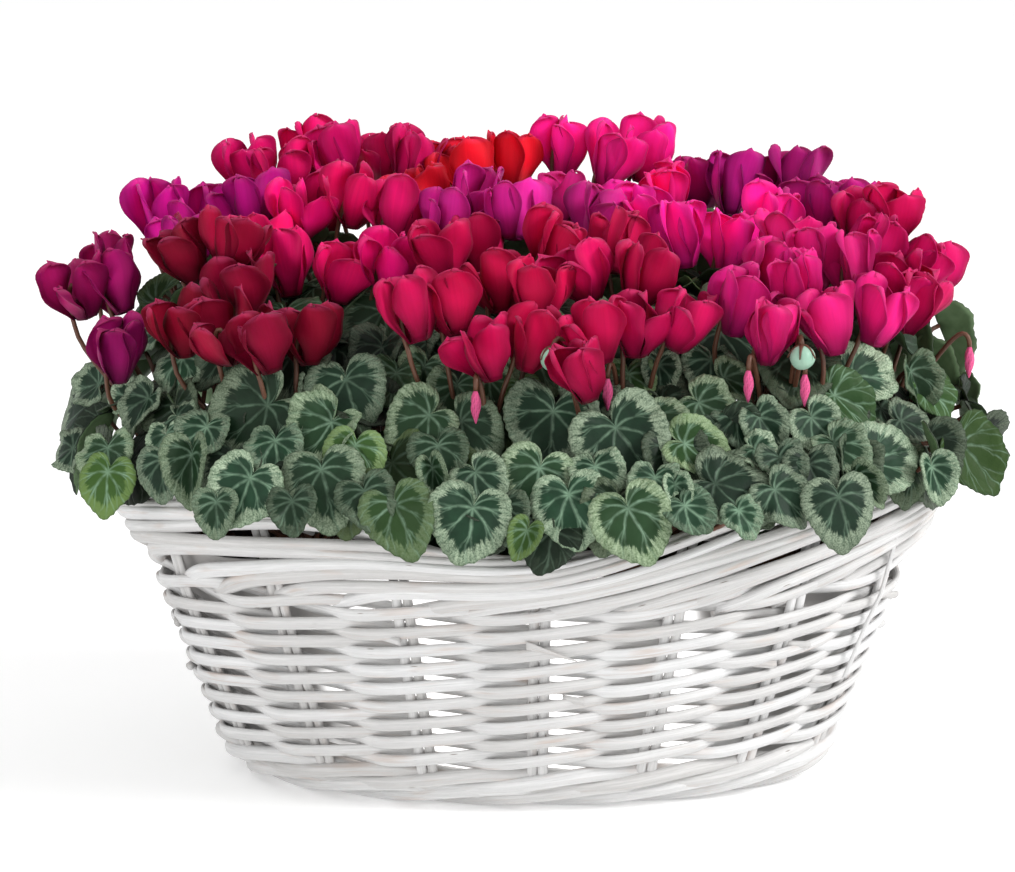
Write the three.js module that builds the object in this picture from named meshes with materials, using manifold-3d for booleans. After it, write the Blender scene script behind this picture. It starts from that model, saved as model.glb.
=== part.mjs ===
// Small cyclamens in an oval basket of painted willow: fourteen plants in one bed of peat,
// inside a thin plastic liner.
// Millimetres, +Z up. The origin is the centre of the basket's flat underside, and the front looks along -Y.
import * as THREE from "three";
import Module from "manifold-3d";

const wasm = await Module();
wasm.setup();

// ---------------------------------------------------------------- driving dimensions

const CLEARANCE = 0.3; // between pieces that touch

// Basket wall: an oval that narrows downwards, straight up to the flare under the border.
const RIM_HALF_LENGTH = 216;
const RIM_HALF_WIDTH = 148;
const FLARE_START = 107; // height where the wall starts to flare
const FLARE_INSET = 24; // how far the wall stands inside the rim there
const WALL_SLOPE = 0.366; // inward run for each millimetre down
const FLARE_CURVE = 0.0059;
const ROUNDING_TOP = 17; // height below which the wall rounds in to the foot
const ROUNDING_CURVE = 0.06;
const STAKE_OVAL_INSET = 36; // of the oval on which the stakes are evenly spaced
const RIM_RISE = 18; // how much higher the rim stands towards the ends than over the middle
const RIM_DIP = 85; // how far its low middle reaches along the basket
const RISE_RANGE = 35; // height above the flare's start over which the wall takes up the rise

// Willow: stakes in pairs, one long weaver, a border of laid-down rods and a twisted foot.
const STAKE_PAIRS = 15;
const STAKE_HALF_WIDTH = 5.8; // of the pair, along the wall
const STAKE_HALF_DEPTH = 2.5;
const STAKE_GROOVE = 0.6; // half depth between the pair's two rods, as a share of theirs
const STAKE_SHIFT = 0.005; // turns the first pair of stakes a little past the front
const STAKE_HEIGHTS = [14.3, 112, 139.8];
const WEAVER_HALF_DEPTH = 3.2;
const WEAVER_HALF_HEIGHT = 5;
const WEAVER_PITCH = 10.8;
const WEAVER_START = 24.5;
const WEAVER_TURNS = 8;
const WEAVER_FLAT = 0.12; // share of a stake's spacing that a rod lies straight on it, each way
const BORDER_HALF_DEPTH = 3.5;
const BORDER_HALF_HEIGHT = 3.4;
// A border rod's course: stakes passed, offset from the wall's middle, and height.
const BORDER_COURSE = [
  [0, 8, 120.5],
  [0.5, 8, 124],
  [1, 8, 127.7],
  [1.5, 7.6, 131.4],
  [2, 7, 135],
  [2.5, 4.5, 139.4],
  [3, 0.5, 142.4],
  [3.6, -6.5, 141],
];
const BASE_THICKNESS = 8;
const BASE_INSET = 69;
const FOOT_SIDES = 30;
const FOOT_STRANDS = 3;
const FOOT_TWIST = 1.6; // how far its strands stand out and in
const FOOT_PROFILE = [[75, 0], [68, 4], [60, 11], [53.5, 16], [59, 20], [BASE_INSET, BASE_THICKNESS]];

// Liner and peat
const LINER_OUTSET = -10.5; // of its outer face from the wall's middle
const LINER_THICKNESS = 1.5;
const LINER_TOP = 133;
const PEAT_TOP = 122;
const CUT_EXTRA = 5; // how far a cutting body stands past the face it opens
const OVAL_SIDES = 26;

// Tubers, half sunk in plain holes, each with the crown that its flower stems rise from.
const TUBER_BOTTOM = 111;
const TUBER_TOP = 132;
const TUBER_RADIUS = 17;
const TUBER_LEVELS = [[12, TUBER_BOTTOM], [TUBER_RADIUS, 121], [11.5, TUBER_TOP]]; // radius and height
const TUBER_SIDES = 7;
const HOLE_RADIUS = 19;
const CROWN_RADIUS = 8.5;
const CROWN_TOP_RADIUS = 6.8;
const CROWN_TOP = 138;
const CROWN_SIDES = 6;
const STEM_SINK = 2.5; // how far a flower stem's foot is sunk in its crown

// Leaves: heart-shaped blades in rings over a domed mound.
const FOLIAGE_HALF_LENGTH = 245;
const FOLIAGE_HALF_WIDTH = 170;
const END_RISE = 14; // the mound stands higher at the two ends
const LEAF_SIZE = [32, 43];
const LEAF_SPACING = 44;
const LEAF_THICKNESS = 1.5;
const LEAF_CURL = 0.22;
const RING_ZIGZAG = 3; // every other leaf of a ring stands this much further out or in
const PETIOLE_RADIUS = 1.4;
const PETIOLE_RISE = 18; // from its elbow to the blade
const PETIOLE_ELBOW = 0.6; // share of its way out
const PETIOLE_SINK = 6; // how far its root is sunk in the tuber's side
const PETIOLE_ROOTS = [122, 124, 126, 128]; // root heights for the outer rings, the last for all inner ones
const ELBOW_LOWEST = 152; // so that an elbow clears the border
// Where a leaf may go instead when its own place is taken: millimetres aside, and share of its size.
const LEAF_MOVES = [
  [0, 1],
  [9, 1],
  [-9, 1],
  [0, 0.8],
  [13, 0.8],
  [-13, 0.8],
  [19, 0.8],
  [-19, 0.8],
  [0, 0.6],
];
const LEAF_RINGS = [
  { inset: 8, height: 164, tilt: 66 },
  { inset: 34, height: 180, tilt: 56 },
  { inset: 62, height: 198, tilt: 46 },
  { inset: 92, height: 214, tilt: 38 },
  { inset: 122, height: 228, tilt: 30 },
  { inset: 151, height: 237, tilt: 20 },
];
// Half a blade's outline, across and along, from the notch at its stalk to the tip, in leaf sizes.
const HALF_HEART = [[0.27, -0.17], [0.53, 0.14], [0.37, 0.56]];
const HEART_NOTCH = 0.03;
const HEART_TIP = 0.88;
const HEART_MIDDLE = 0.27;
const HEART_JOINT = 0.14;

// Blooms: five upswept petals on a short cup, which hangs mouth down.
const PETALS = 5;
const PETAL_HEIGHT = 32;
const CUP_RADIUS = 4.6;
const CUP_HEIGHT = 5;
const PETAL_THICKNESS = 1.5;
const BLOOM_LEAN = 0.004; // lean outwards for each millimetre from the plant's middle
const BLOOM_TILT = 0.14; // most lean either way by chance
// A petal's two rim corners and its face: turn from its own middle, radius, and share of its height.
const PETAL_LEFT = [-0.62, 11.5, 0.9];
const PETAL_RIGHT = [0.5, 15.5, 0.95];
const PETAL_FACE = [0, 14, 0.56];
const STEM_RADIUS = 1.4;
const STEM_FOOT_RADIUS = 4; // of the ring that a plant's stems stand on
const BUD_LENGTH = 17;
const BUD_RADIUS = 3.4;
// Radius, and share of the length above the tip.
const BUD_LEVELS = [[STEM_RADIUS, 1], [BUD_RADIUS * 0.8, 0.8], [BUD_RADIUS, 0.4], [0.8, 0]];
const HOOK_REACH = 10; // from a bud's middle in to its rising stem
const HOOK_TOP = [4, 6]; // inward and upward from the bud's top

// Each plant: where its tuber sits, its flower colour, and where the mouth of each bloom hangs.
const PLANTS = [
  { name: "plum", at: [-166, -12], colour: "#7a1a5e",
    blooms: [[-237, -22, 243], [-216, 8, 247], [-206, -48, 215]], buds: [] },
  { name: "purple", at: [-134, 55], colour: "#9c1763",
    blooms: [[-200, 60, 270], [-180, 32, 260], [-169, 74, 272], [-142, 42, 277], [-144, 18, 247]], buds: [] },
  { name: "magenta_red", at: [-66, 82], colour: "#b8154f",
    blooms: [[-148, 92, 292], [-126, 72, 290], [-119, 108, 300], [-98, 86, 300], [-82, 108, 295],
      [-66, 86, 298], [-106, 52, 278]], buds: [] },
  { name: "scarlet", at: [4, 84], colour: "#c8142c",
    blooms: [[-40, 100, 291], [-30, 72, 288], [-10, 84, 294], [-8, 110, 288], [-56, 58, 281]], buds: [] },
  { name: "pink_magenta", at: [72, 82], colour: "#d0186a",
    blooms: [[20, 98, 302], [42, 84, 297], [62, 100, 299], [78, 70, 284]], buds: [] },
  { name: "deep_purple", at: [138, 56], colour: "#6f1250",
    blooms: [[93, 96, 282], [108, 72, 284], [124, 92, 284], [142, 77, 287], [150, 52, 272], [172, 60, 274]],
    buds: [] },
  { name: "red", at: [-84, 8], colour: "#b3122f",
    blooms: [[-122, -8, 252], [-98, -22, 251], [-92, 22, 284], [-70, 8, 277], [-72, -26, 258],
      [-120, 22, 277]], buds: [] },
  { name: "violet_pink", at: [-2, 8], colour: "#a8246e",
    blooms: [[-28, 22, 284], [-8, -6, 281], [18, 30, 283], [-42, -2, 276], [34, 4, 275]], buds: [] },
  { name: "hot_pink", at: [82, 4], colour: "#cf1d62",
    blooms: [[80, -8, 267], [102, 8, 260], [58, 42, 270], [66, 14, 270]], buds: [] },
  { name: "bright_magenta", at: [168, -8], colour: "#b91455",
    blooms: [[172, 24, 273], [190, 10, 277], [174, -14, 264], [196, -12, 256], [214, 4, 250],
      [196, -36, 239]], buds: [[224, -30, 212]] },
  { name: "dark_red", at: [-108, -66], colour: "#8c0f28",
    blooms: [[-170, -72, 232], [-146, -88, 231], [-126, -98, 228], [-108, -84, 229], [-140, -54, 248],
      [-168, -30, 262], [-150, -34, 266]], buds: [] },
  { name: "crimson", at: [-24, -78], colour: "#b8123c",
    blooms: [[-54, -98, 243], [-36, -90, 245], [-18, -108, 226], [-2, -100, 229], [-14, -64, 252],
      [-40, -46, 265], [6, -84, 250], [8, -40, 266]], buds: [[-26, -118, 205]] },
  { name: "rose", at: [50, -78], colour: "#c4154a",
    blooms: [[34, -102, 233], [52, -94, 235], [28, -120, 219], [30, -64, 258], [54, -60, 255],
      [72, -90, 238], [42, -34, 268]], buds: [[38, -100, 208]] },
  { name: "bright_pink", at: [124, -60], colour: "#d81c68",
    blooms: [[100, -74, 243], [120, -44, 254], [144, -38, 258], [164, -46, 257], [134, -68, 251],
      [150, -84, 235], [170, -68, 237], [116, -90, 232], [132, -16, 267]],
    buds: [[106, -106, 213], [134, -100, 210]] },
];

const COLOURS = {
  willow: "#e4e2df",
  liner: "#eceae6",
  peat: "#2e231c",
  leaves: "#3f6b50",
};

// ---------------------------------------------------------------- solids

// One seeded series of random draws, so that every build gives the same plants.
function drawsFrom(seed) {
  let state = seed;
  return (low, high) => {
    state = (state * 48271) % 2147483647;
    return low + ((high - low) * state) / 2147483647;
  };
}

// A closed solid from its corners and its triangles, turned to face outwards.
function solidOf(corners, triangles) {
  const vertProperties = new Float32Array(corners.flatMap((p) => [p.x, p.y, p.z]));
  const build = (faces) =>
    new wasm.Manifold(new wasm.Mesh({ numProp: 3, vertProperties, triVerts: new Uint32Array(faces.flat()) }));
  const made = build(triangles);
  return made.volume() < 0 ? build(triangles.map(([a, b, c]) => [a, c, b])) : made;
}

// A solid through rings of equally many points, ended with flat caps.
function loft(rings) {
  const n = rings[0].length;
  const last = (rings.length - 1) * n;
  const triangles = [];
  for (let low = 0; low < last; low += n) {
    const high = low + n;
    for (let k = 0; k < n; k++) {
      const next = (k + 1) % n;
      triangles.push([low + k, low + next, high + next], [low + k, high + next, high + k]);
    }
  }
  for (let k = 1; k < n - 1; k++) triangles.push([0, k + 1, k], [last, last + k, last + k + 1]);
  return solidOf(rings.flat(), triangles);
}

// Three corners round a point of a stalk, the first of them towards one side.
function stalkRing(point, direction, side, radius) {
  const lengthwise = side.dot(direction) / direction.lengthSq();
  const first = side.clone().addScaledVector(direction, -lengthwise).normalize();
  const second = direction.clone().cross(first).normalize();
  return [0, 1, 2].map((k) => {
    const turn = (k * 2 * Math.PI) / 3;
    const corner = point.clone().addScaledVector(first, radius * Math.cos(turn));
    return corner.addScaledVector(second, radius * Math.sin(turn));
  });
}

// The rings of a stalk along a path, all but the last, which the piece at its end makes.
function stalkRings(path, side, radius) {
  return path.slice(0, -1).map((point, i) => {
    const direction = path[i + 1].clone().sub(path[Math.max(i - 1, 0)]);
    return stalkRing(point, direction, side, radius);
  });
}

// Triangles between two loops of corner numbers, which may hold different counts.
function band(low, high) {
  const triangles = [];
  let i = 0;
  let j = 0;
  while (i < low.length || j < high.length) {
    const a = low[i % low.length];
    const b = high[j % high.length];
    if ((i + 0.5) / low.length < (j + 0.5) / high.length) {
      i += 1;
      triangles.push([a, low[i % low.length], b]);
    } else {
      j += 1;
      triangles.push([a, high[j % high.length], b]);
    }
  }
  return triangles;
}

// Joins solids into one body. A hollow that they seal is filled, and a loose scrap is dropped.
function joined(solids) {
  const whole = solids.reduce((sum, solid) => sum.add(solid));
  return whole.decompose().reduce((best, body) => (body.volume() > best.volume() ? body : best));
}

function meshOf(name, solid, colour, roughness) {
  const { vertProperties, triVerts } = solid.getMesh();
  const geometry = new THREE.BufferGeometry();
  geometry.setAttribute("position", new THREE.BufferAttribute(Float32Array.from(vertProperties), 3));
  geometry.setIndex(Array.from(triVerts));
  geometry.computeVertexNormals();
  const material = new THREE.MeshStandardMaterial({ color: colour, roughness, flatShading: true });
  const mesh = new THREE.Mesh(geometry, material);
  mesh.name = name;
  return mesh;
}

// ---------------------------------------------------------------- the oval

// The angle on an oval at a share of its way round, counted from the front towards +X.
function ovalAngle(halfLength, halfWidth, share) {
  const steps = 720;
  const lengthOf = (k) => {
    const angle = (2 * Math.PI * (k + 0.5)) / steps - Math.PI / 2;
    return Math.hypot(halfLength * Math.sin(angle), halfWidth * Math.cos(angle));
  };
  let total = 0;
  for (let k = 0; k < steps; k++) total += lengthOf(k);
  let left = (share - Math.floor(share)) * total;
  let k = 0;
  while (left > lengthOf(k)) {
    left -= lengthOf(k);
    k += 1;
  }
  return (2 * Math.PI * (k + left / lengthOf(k))) / steps - Math.PI / 2;
}

// A point on an oval at an angle, moved out by an offset along the oval's normal.
function ovalPoint(halfLength, halfWidth, angle, offset, height) {
  const normal = new THREE.Vector3(Math.cos(angle) / halfLength, Math.sin(angle) / halfWidth, 0).normalize();
  const point = new THREE.Vector3(halfLength * Math.cos(angle), halfWidth * Math.sin(angle), height);
  return { point: point.addScaledVector(normal, offset), normal };
}

// How far the wall stands inside the rim: a straight slope that flares at the top and rounds in at the foot.
function wallInset(height) {
  const straight = FLARE_INSET - WALL_SLOPE * (height - FLARE_START);
  const flare = Math.max(height - FLARE_START, 0);
  const rounding = Math.max(ROUNDING_TOP - height, 0);
  return straight - FLARE_CURVE * flare * flare + ROUNDING_CURVE * rounding * rounding;
}

// How much higher the rim stands at a place along the basket than over its middle.
function rimRise(x) {
  return RIM_RISE * (1 - Math.exp(-((x / RIM_DIP) ** 2)));
}

// A place in the basket's wall, by stake number and height, with the wall's outward and upward directions.
// Its height is the one over the middle. Elsewhere the top of the wall is raised with the rim.
function wallPlace(stake, height, offset) {
  const share = (stake / STAKE_PAIRS + STAKE_SHIFT) % 1;
  const inset = wallInset(height);
  const angle = ovalAngle(RIM_HALF_LENGTH - STAKE_OVAL_INSET, RIM_HALF_WIDTH - STAKE_OVAL_INSET, share);
  const { point, normal } = ovalPoint(RIM_HALF_LENGTH - inset, RIM_HALF_WIDTH - inset, angle, offset, height);
  point.z += (rimRise(point.x) * Math.max(height - FLARE_START, 0)) / RISE_RANGE;
  const slope = wallInset(height - 0.5) - wallInset(height + 0.5);
  const up = new THREE.Vector3(0, 0, 1).addScaledVector(normal, slope).normalize();
  return { point, normal, up, along: up.clone().cross(normal) };
}

// A diamond section of a rod, in the wall's outward and upward directions.
function rodSection({ point, normal, up }, halfDepth, halfHeight) {
  return [
    point.clone().addScaledVector(normal, halfDepth),
    point.clone().addScaledVector(up, halfHeight),
    point.clone().addScaledVector(normal, -halfDepth),
    point.clone().addScaledVector(up, -halfHeight),
  ];
}

// A plain oval body through levels of inset from the rim and height.
function ovalBody(levels) {
  const rings = levels.map(([inset, height]) =>
    Array.from({ length: OVAL_SIDES }, (_, k) => {
      const angle = (2 * Math.PI * k) / OVAL_SIDES;
      return ovalPoint(RIM_HALF_LENGTH - inset, RIM_HALF_WIDTH - inset, angle, 0, height).point;
    }),
  );
  return loft(rings);
}

// ---------------------------------------------------------------- basket

// A pair of stakes side by side: one strip with a groove down each face.
function stakePair(stake) {
  const groove = STAKE_HALF_DEPTH * STAKE_GROOVE;
  const outline = [
    [0, groove],
    [STAKE_HALF_WIDTH, STAKE_HALF_DEPTH],
    [STAKE_HALF_WIDTH, -STAKE_HALF_DEPTH],
    [0, -groove],
    [-STAKE_HALF_WIDTH, -STAKE_HALF_DEPTH],
    [-STAKE_HALF_WIDTH, STAKE_HALF_DEPTH],
  ];
  return loft(STAKE_HEIGHTS.map((height) => {
    const { point, normal, along } = wallPlace(stake, height, 0);
    return outline.map(([x, y]) => point.clone().addScaledVector(along, x).addScaledVector(normal, y));
  }));
}

// A border rod starts low on the outside, climbs along the rim past the next stakes, and ends inside it.
function borderRod(stake) {
  return loft(BORDER_COURSE.map(([step, offset, height]) =>
    rodSection(wallPlace(stake + step, height, offset), BORDER_HALF_DEPTH, BORDER_HALF_HEIGHT)));
}

// The base with the thick twisted wale round its edge, whose strands run slantwise.
function base() {
  const last = FOOT_PROFILE.length - 1;
  return loft(FOOT_PROFILE.map(([inset, height], level) =>
    Array.from({ length: FOOT_SIDES }, (_, k) => {
      const angle = (2 * Math.PI * k) / FOOT_SIDES;
      const slant = (2 * Math.PI * (k + level)) / FOOT_STRANDS;
      const offset = level > 0 && level < last - 1 ? FOOT_TWIST * Math.cos(slant) : 0;
      return ovalPoint(RIM_HALF_LENGTH - inset, RIM_HALF_WIDTH - inset, angle, offset, height).point;
    }),
  ));
}

function basketFrame() {
  const pieces = [base()];
  for (let stake = 0; stake < STAKE_PAIRS; stake++) {
    pieces.push(stakePair(stake));
    pieces.push(borderRod(stake));
  }
  return joined(pieces);
}

// One long rod wound up the wall, outside one pair of stakes and inside the next.
// The odd number of pairs makes each turn pass the other way from the turn below it.
function weaver() {
  const reach = STAKE_HALF_DEPTH + 2 * CLEARANCE + WEAVER_HALF_DEPTH;
  const rings = [];
  for (let stake = 0; stake < STAKE_PAIRS * WEAVER_TURNS; stake++) {
    const offset = stake % 2 === 0 ? reach : -reach;
    for (const step of [-WEAVER_FLAT, WEAVER_FLAT]) {
      const height = WEAVER_START + (WEAVER_PITCH * (stake + step)) / STAKE_PAIRS;
      const place = wallPlace(stake + step + STAKE_PAIRS, height, offset);
      rings.push(rodSection(place, WEAVER_HALF_DEPTH, WEAVER_HALF_HEIGHT));
    }
  }
  return loft(rings);
}

// ---------------------------------------------------------------- liner, peat and tubers

// An oval body whose sides follow the wall at an outset from its middle.
function alongWall(heights, outset) {
  return ovalBody(heights.map((height) => [wallInset(height) - outset, height]));
}

function liner() {
  const bottom = BASE_THICKNESS + CLEARANCE;
  const shell = alongWall([bottom, FLARE_START, LINER_TOP], LINER_OUTSET);
  const hollowHeights = [bottom + LINER_THICKNESS, FLARE_START, LINER_TOP + CUT_EXTRA];
  return shell.subtract(alongWall(hollowHeights, LINER_OUTSET - LINER_THICKNESS));
}

function tuber([x, y]) {
  return loft(TUBER_LEVELS.map(([radius, height]) => circle(x, y, radius, height, TUBER_SIDES)));
}

function circle(x, y, radius, height, sides) {
  return Array.from({ length: sides }, (_, k) => {
    const angle = (2 * Math.PI * k) / sides;
    return new THREE.Vector3(x + radius * Math.cos(angle), y + radius * Math.sin(angle), height);
  });
}

function peat() {
  const outset = LINER_OUTSET - LINER_THICKNESS - CLEARANCE;
  const bottom = BASE_THICKNESS + LINER_THICKNESS + 2 * CLEARANCE;
  const body = alongWall([bottom, FLARE_START, PEAT_TOP], outset);
  return PLANTS.reduce((bed, { at: [x, y] }) => {
    const ends = [TUBER_BOTTOM - CLEARANCE, PEAT_TOP + CUT_EXTRA];
    return bed.subtract(loft(ends.map((height) => circle(x, y, HOLE_RADIUS, height, TUBER_SIDES))));
  }, body);
}

// ---------------------------------------------------------------- blooms

// Where a flower stem leaves its plant's crown, on the side towards the bloom.
function stemFoot(plant, mouth) {
  const [x, y] = plant.at;
  const out = new THREE.Vector3(mouth.x - x, mouth.y - y, 0).setLength(STEM_FOOT_RADIUS);
  return new THREE.Vector3(x, y, CROWN_TOP - STEM_SINK).add(out);
}

// A bloom on its stem, as one solid: five petals round a small cup.
// The flower's way up leans a little out from its plant.
function bloom(plant, mouth, draw) {
  const lean = new THREE.Vector3(mouth.x - plant.at[0], mouth.y - plant.at[1], 0).multiplyScalar(BLOOM_LEAN);
  const tilt = () => draw(-BLOOM_TILT, BLOOM_TILT);
  const up = new THREE.Vector3(lean.x + tilt(), lean.y + tilt(), 1).normalize();
  const turn = draw(0, 2 * Math.PI);
  const height = PETAL_HEIGHT * draw(0.9, 1.08);
  const spread = draw(0.75, 1.1);
  const right = new THREE.Vector3(1, 0, 0).addScaledVector(up, -up.x).normalize();
  const back = up.clone().cross(right);
  const place = (angle, radius, rise) =>
    mouth.clone().addScaledVector(up, rise)
      .addScaledVector(right, radius * Math.cos(turn + angle))
      .addScaledVector(back, radius * Math.sin(turn + angle));
  const slice = (2 * Math.PI) / PETALS;
  const toSide = place(0, 1, 0).sub(mouth);
  const rings = stalkRings([stemFoot(plant, mouth), mouth], toSide, STEM_RADIUS);
  rings.push(stalkRing(mouth, up, toSide, STEM_RADIUS));
  const corners = rings.flat();
  const triangles = [[0, 2, 1], ...band([0, 1, 2], [3, 4, 5])];
  const outer = Array.from({ length: PETALS }, (_, k) => corners.length + k);
  corners.push(...outer.map((_, k) => place(k * slice, CUP_RADIUS, CUP_HEIGHT * 0.4)));
  const pit = corners.length;
  corners.push(place(0, 0, CUP_HEIGHT));
  triangles.push(...band([3, 4, 5], outer));
  for (let k = 0; k < PETALS; k++) {
    const next = (k + 1) % PETALS;
    const middle = (k + 0.5) * slice;
    const left = corners.length;
    const [rightEdge, face, behind] = [left + 1, left + 2, left + 3];
    const corner = ([aside, radius, share], sunk = 0) =>
      place(middle + aside, radius * spread - sunk, height * share);
    corners.push(corner(PETAL_LEFT), corner(PETAL_RIGHT));
    corners.push(corner(PETAL_FACE), corner(PETAL_FACE, PETAL_THICKNESS));
    const rim = [rightEdge, left];
    triangles.push(...fan([outer[k], outer[next], ...rim], face));
    triangles.push(...fan([left, rightEdge, pit], behind));
    triangles.push([outer[next], pit, rightEdge], [pit, outer[k], left]);
  }
  return solidOf(corners, triangles);
}

// Triangles from a loop of corner numbers to one corner inside it.
function fan(loop, middle) {
  return loop.map((corner, i) => [corner, loop[(i + 1) % loop.length], middle]);
}

// A closed bud hangs from a hooked stem.
function bud(plant, mouth) {
  const out = new THREE.Vector3(mouth.x - plant.at[0], mouth.y - plant.at[1], 0).normalize();
  const top = mouth.clone().add(new THREE.Vector3(0, 0, BUD_LENGTH));
  const rise = top.clone().addScaledVector(out, -HOOK_REACH);
  const [inward, upward] = HOOK_TOP;
  const hook = top.clone().addScaledVector(out, -inward).add(new THREE.Vector3(0, 0, upward));
  const path = [stemFoot(plant, mouth), rise, hook, top];
  const sideways = new THREE.Vector3(-out.y, out.x, 0);
  const down = new THREE.Vector3(0, 0, -1);
  const body = BUD_LEVELS.map(([radius, share]) =>
    stalkRing(mouth.clone().addScaledVector(down, -BUD_LENGTH * share), down, sideways, radius),
  );
  return loft([...stalkRings(path, sideways, STEM_RADIUS), ...body]);
}

function bloomsOf(plant, draw) {
  const [x, y] = plant.at;
  const crown = loft([
    circle(x, y, CROWN_RADIUS, TUBER_TOP + CLEARANCE, CROWN_SIDES),
    circle(x, y, CROWN_TOP_RADIUS, CROWN_TOP, CROWN_SIDES),
  ]);
  return joined([
    crown,
    ...plant.blooms.map((mouth) => bloom(plant, new THREE.Vector3(...mouth), draw)),
    ...plant.buds.map((mouth) => bud(plant, new THREE.Vector3(...mouth))),
  ]);
}

// ---------------------------------------------------------------- leaves

// Every place where a leaf may stand: rings over the mound, spaced along each ring with a little scatter.
function leafPlaces(draw) {
  const places = [];
  for (const [level, ring] of LEAF_RINGS.entries()) {
    const halfLength = FOLIAGE_HALF_LENGTH - ring.inset;
    const halfWidth = FOLIAGE_HALF_WIDTH - ring.inset;
    const roundabout = Math.PI * (halfLength + halfWidth);
    const count = Math.round(roundabout / LEAF_SPACING);
    const start = draw(0, 1);
    const root = PETIOLE_ROOTS[level] ?? PETIOLE_ROOTS.at(-1);
    for (let i = 0; i < count; i++) {
      const share = (start + (i + draw(-0.1, 0.1)) / count) % 1;
      const size = draw(...LEAF_SIZE);
      const tilt = THREE.MathUtils.degToRad(ring.tilt + draw(-7, 7));
      const yaw = draw(-0.3, 0.3);
      const angle = ovalAngle(halfLength, halfWidth, share);
      const zigzag = i % 2 ? RING_ZIGZAG : -RING_ZIGZAG;
      const { point, normal } = ovalPoint(halfLength, halfWidth, angle, zigzag, 0);
      point.z = ring.height + END_RISE * Math.cos(angle) ** 2 + draw(-3, 3);
      places.push({ middle: point, outward: normal, size, tilt, yaw, root });
    }
  }
  return places;
}

// The directions of a blade: along from stalk to tip, its upper face's normal, and across.
function bladeFrame({ middle, outward, size, tilt, yaw }) {
  const normal = outward.clone().multiplyScalar(Math.sin(tilt)).add(new THREE.Vector3(0, 0, Math.cos(tilt)));
  const along = outward.clone().multiplyScalar(Math.cos(tilt)).add(new THREE.Vector3(0, 0, -Math.sin(tilt)));
  along.applyAxisAngle(normal, yaw);
  const across = along.clone().cross(normal);
  const foot = middle.clone().addScaledVector(along, -HEART_MIDDLE * size);
  return { foot, along, across, normal };
}

// A leaf, as one solid. Its petiole leaves the tuber's shoulder, runs out low and climbs behind the blade.
// The blade is heart-shaped and domed a little.
function leaf(plant, place) {
  const { foot, along, across, normal } = bladeFrame(place);
  const at = (x, y, lift) => {
    const point = foot.clone().addScaledVector(across, x * place.size);
    return point.addScaledVector(along, y * place.size).addScaledVector(normal, lift);
  };
  const sag = (x, y) => -LEAF_CURL * place.size * (x * x + 0.6 * (y - HEART_MIDDLE) ** 2);
  const joint = at(0, HEART_JOINT, -LEAF_THICKNESS / 2);
  const out = new THREE.Vector3(joint.x - plant.at[0], joint.y - plant.at[1], 0).normalize();
  const start = new THREE.Vector3(plant.at[0], plant.at[1], place.root);
  start.addScaledVector(out, TUBER_RADIUS - PETIOLE_SINK);
  const elbow = start.clone().lerp(joint, PETIOLE_ELBOW);
  elbow.z = Math.max(joint.z - PETIOLE_RISE, ELBOW_LOWEST + rimRise(joint.x));
  const rings = stalkRings([start, elbow, joint], across, PETIOLE_RADIUS);
  rings.push(stalkRing(joint, normal, across, PETIOLE_RADIUS));
  const corners = rings.flat();
  const triangles = [[0, 2, 1], ...band([0, 1, 2], [3, 4, 5]), ...band([3, 4, 5], [6, 7, 8])];
  const left = HALF_HEART.map(([x, y]) => [-x, y]).reverse();
  const rim = [...HALF_HEART.slice(1), [0, HEART_TIP], ...left, [0, HEART_NOTCH], HALF_HEART[0]];
  const loop = rim.map((_, k) => corners.length + k);
  corners.push(...rim.map(([x, y]) => at(x, y, sag(x, y))));
  triangles.push(...band([6, 7, 8], loop), ...fan(loop, corners.length));
  corners.push(at(0, HEART_MIDDLE, LEAF_THICKNESS / 2));
  return solidOf(corners, triangles);
}

function boxesMeet(a, b) {
  return [0, 1, 2].every((k) => a.min[k] < b.max[k] && b.min[k] < a.max[k]);
}

function crosses(solid, other) {
  return boxesMeet(solid.boundingBox(), other.boundingBox()) && solid.intersect(other).volume() > 0;
}

// The solid of a leaf at its place, or else moved aside or smaller, clear of every other solid.
function clearLeaf(plant, place, others) {
  const sideways = new THREE.Vector3(-place.outward.y, place.outward.x, 0);
  for (const [shift, share] of LEAF_MOVES) {
    const middle = place.middle.clone().addScaledVector(sideways, shift);
    const made = leaf(plant, { ...place, middle, size: place.size * share });
    if (!others.some((other) => crosses(made, other))) return made;
  }
  return null;
}

function nearestPlant({ middle }) {
  const distances = PLANTS.map(({ at: [x, y] }) => Math.hypot(middle.x - x, middle.y - y));
  return distances.indexOf(Math.min(...distances));
}

// ---------------------------------------------------------------- assembly

const frameSolid = basketFrame();
const linerSolid = liner();
const bloomDraw = drawsFrom(20231);
const bloomSolids = PLANTS.map((plant) => bloomsOf(plant, bloomDraw));

// Each leaf grows from the nearest tuber, and one that finds no clear place is left out.
const leafPieces = PLANTS.map((plant) => [tuber(plant.at)]);
for (const place of leafPlaces(drawsFrom(7919))) {
  const owner = nearestPlant(place);
  const others = [frameSolid, linerSolid, ...bloomSolids, ...leafPieces.toSpliced(owner, 1).flat()];
  const made = clearLeaf(PLANTS[owner], place, others);
  if (made) leafPieces[owner].push(made);
}

const whole = new THREE.Group();
whole.add(meshOf("basket_frame", frameSolid, COLOURS.willow, 0.7));
whole.add(meshOf("weaver", weaver(), COLOURS.willow, 0.7));
whole.add(meshOf("liner", linerSolid, COLOURS.liner, 0.5));
whole.add(meshOf("peat", peat(), COLOURS.peat, 1));
for (const [k, { name, colour }] of PLANTS.entries()) {
  whole.add(meshOf(`${name}_blooms`, bloomSolids[k], colour, 0.6));
}
for (const [k, { name }] of PLANTS.entries()) {
  whole.add(meshOf(`${name}_leaves`, joined(leafPieces[k]), COLOURS.leaves, 0.8));
}

export default whole;
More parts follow.
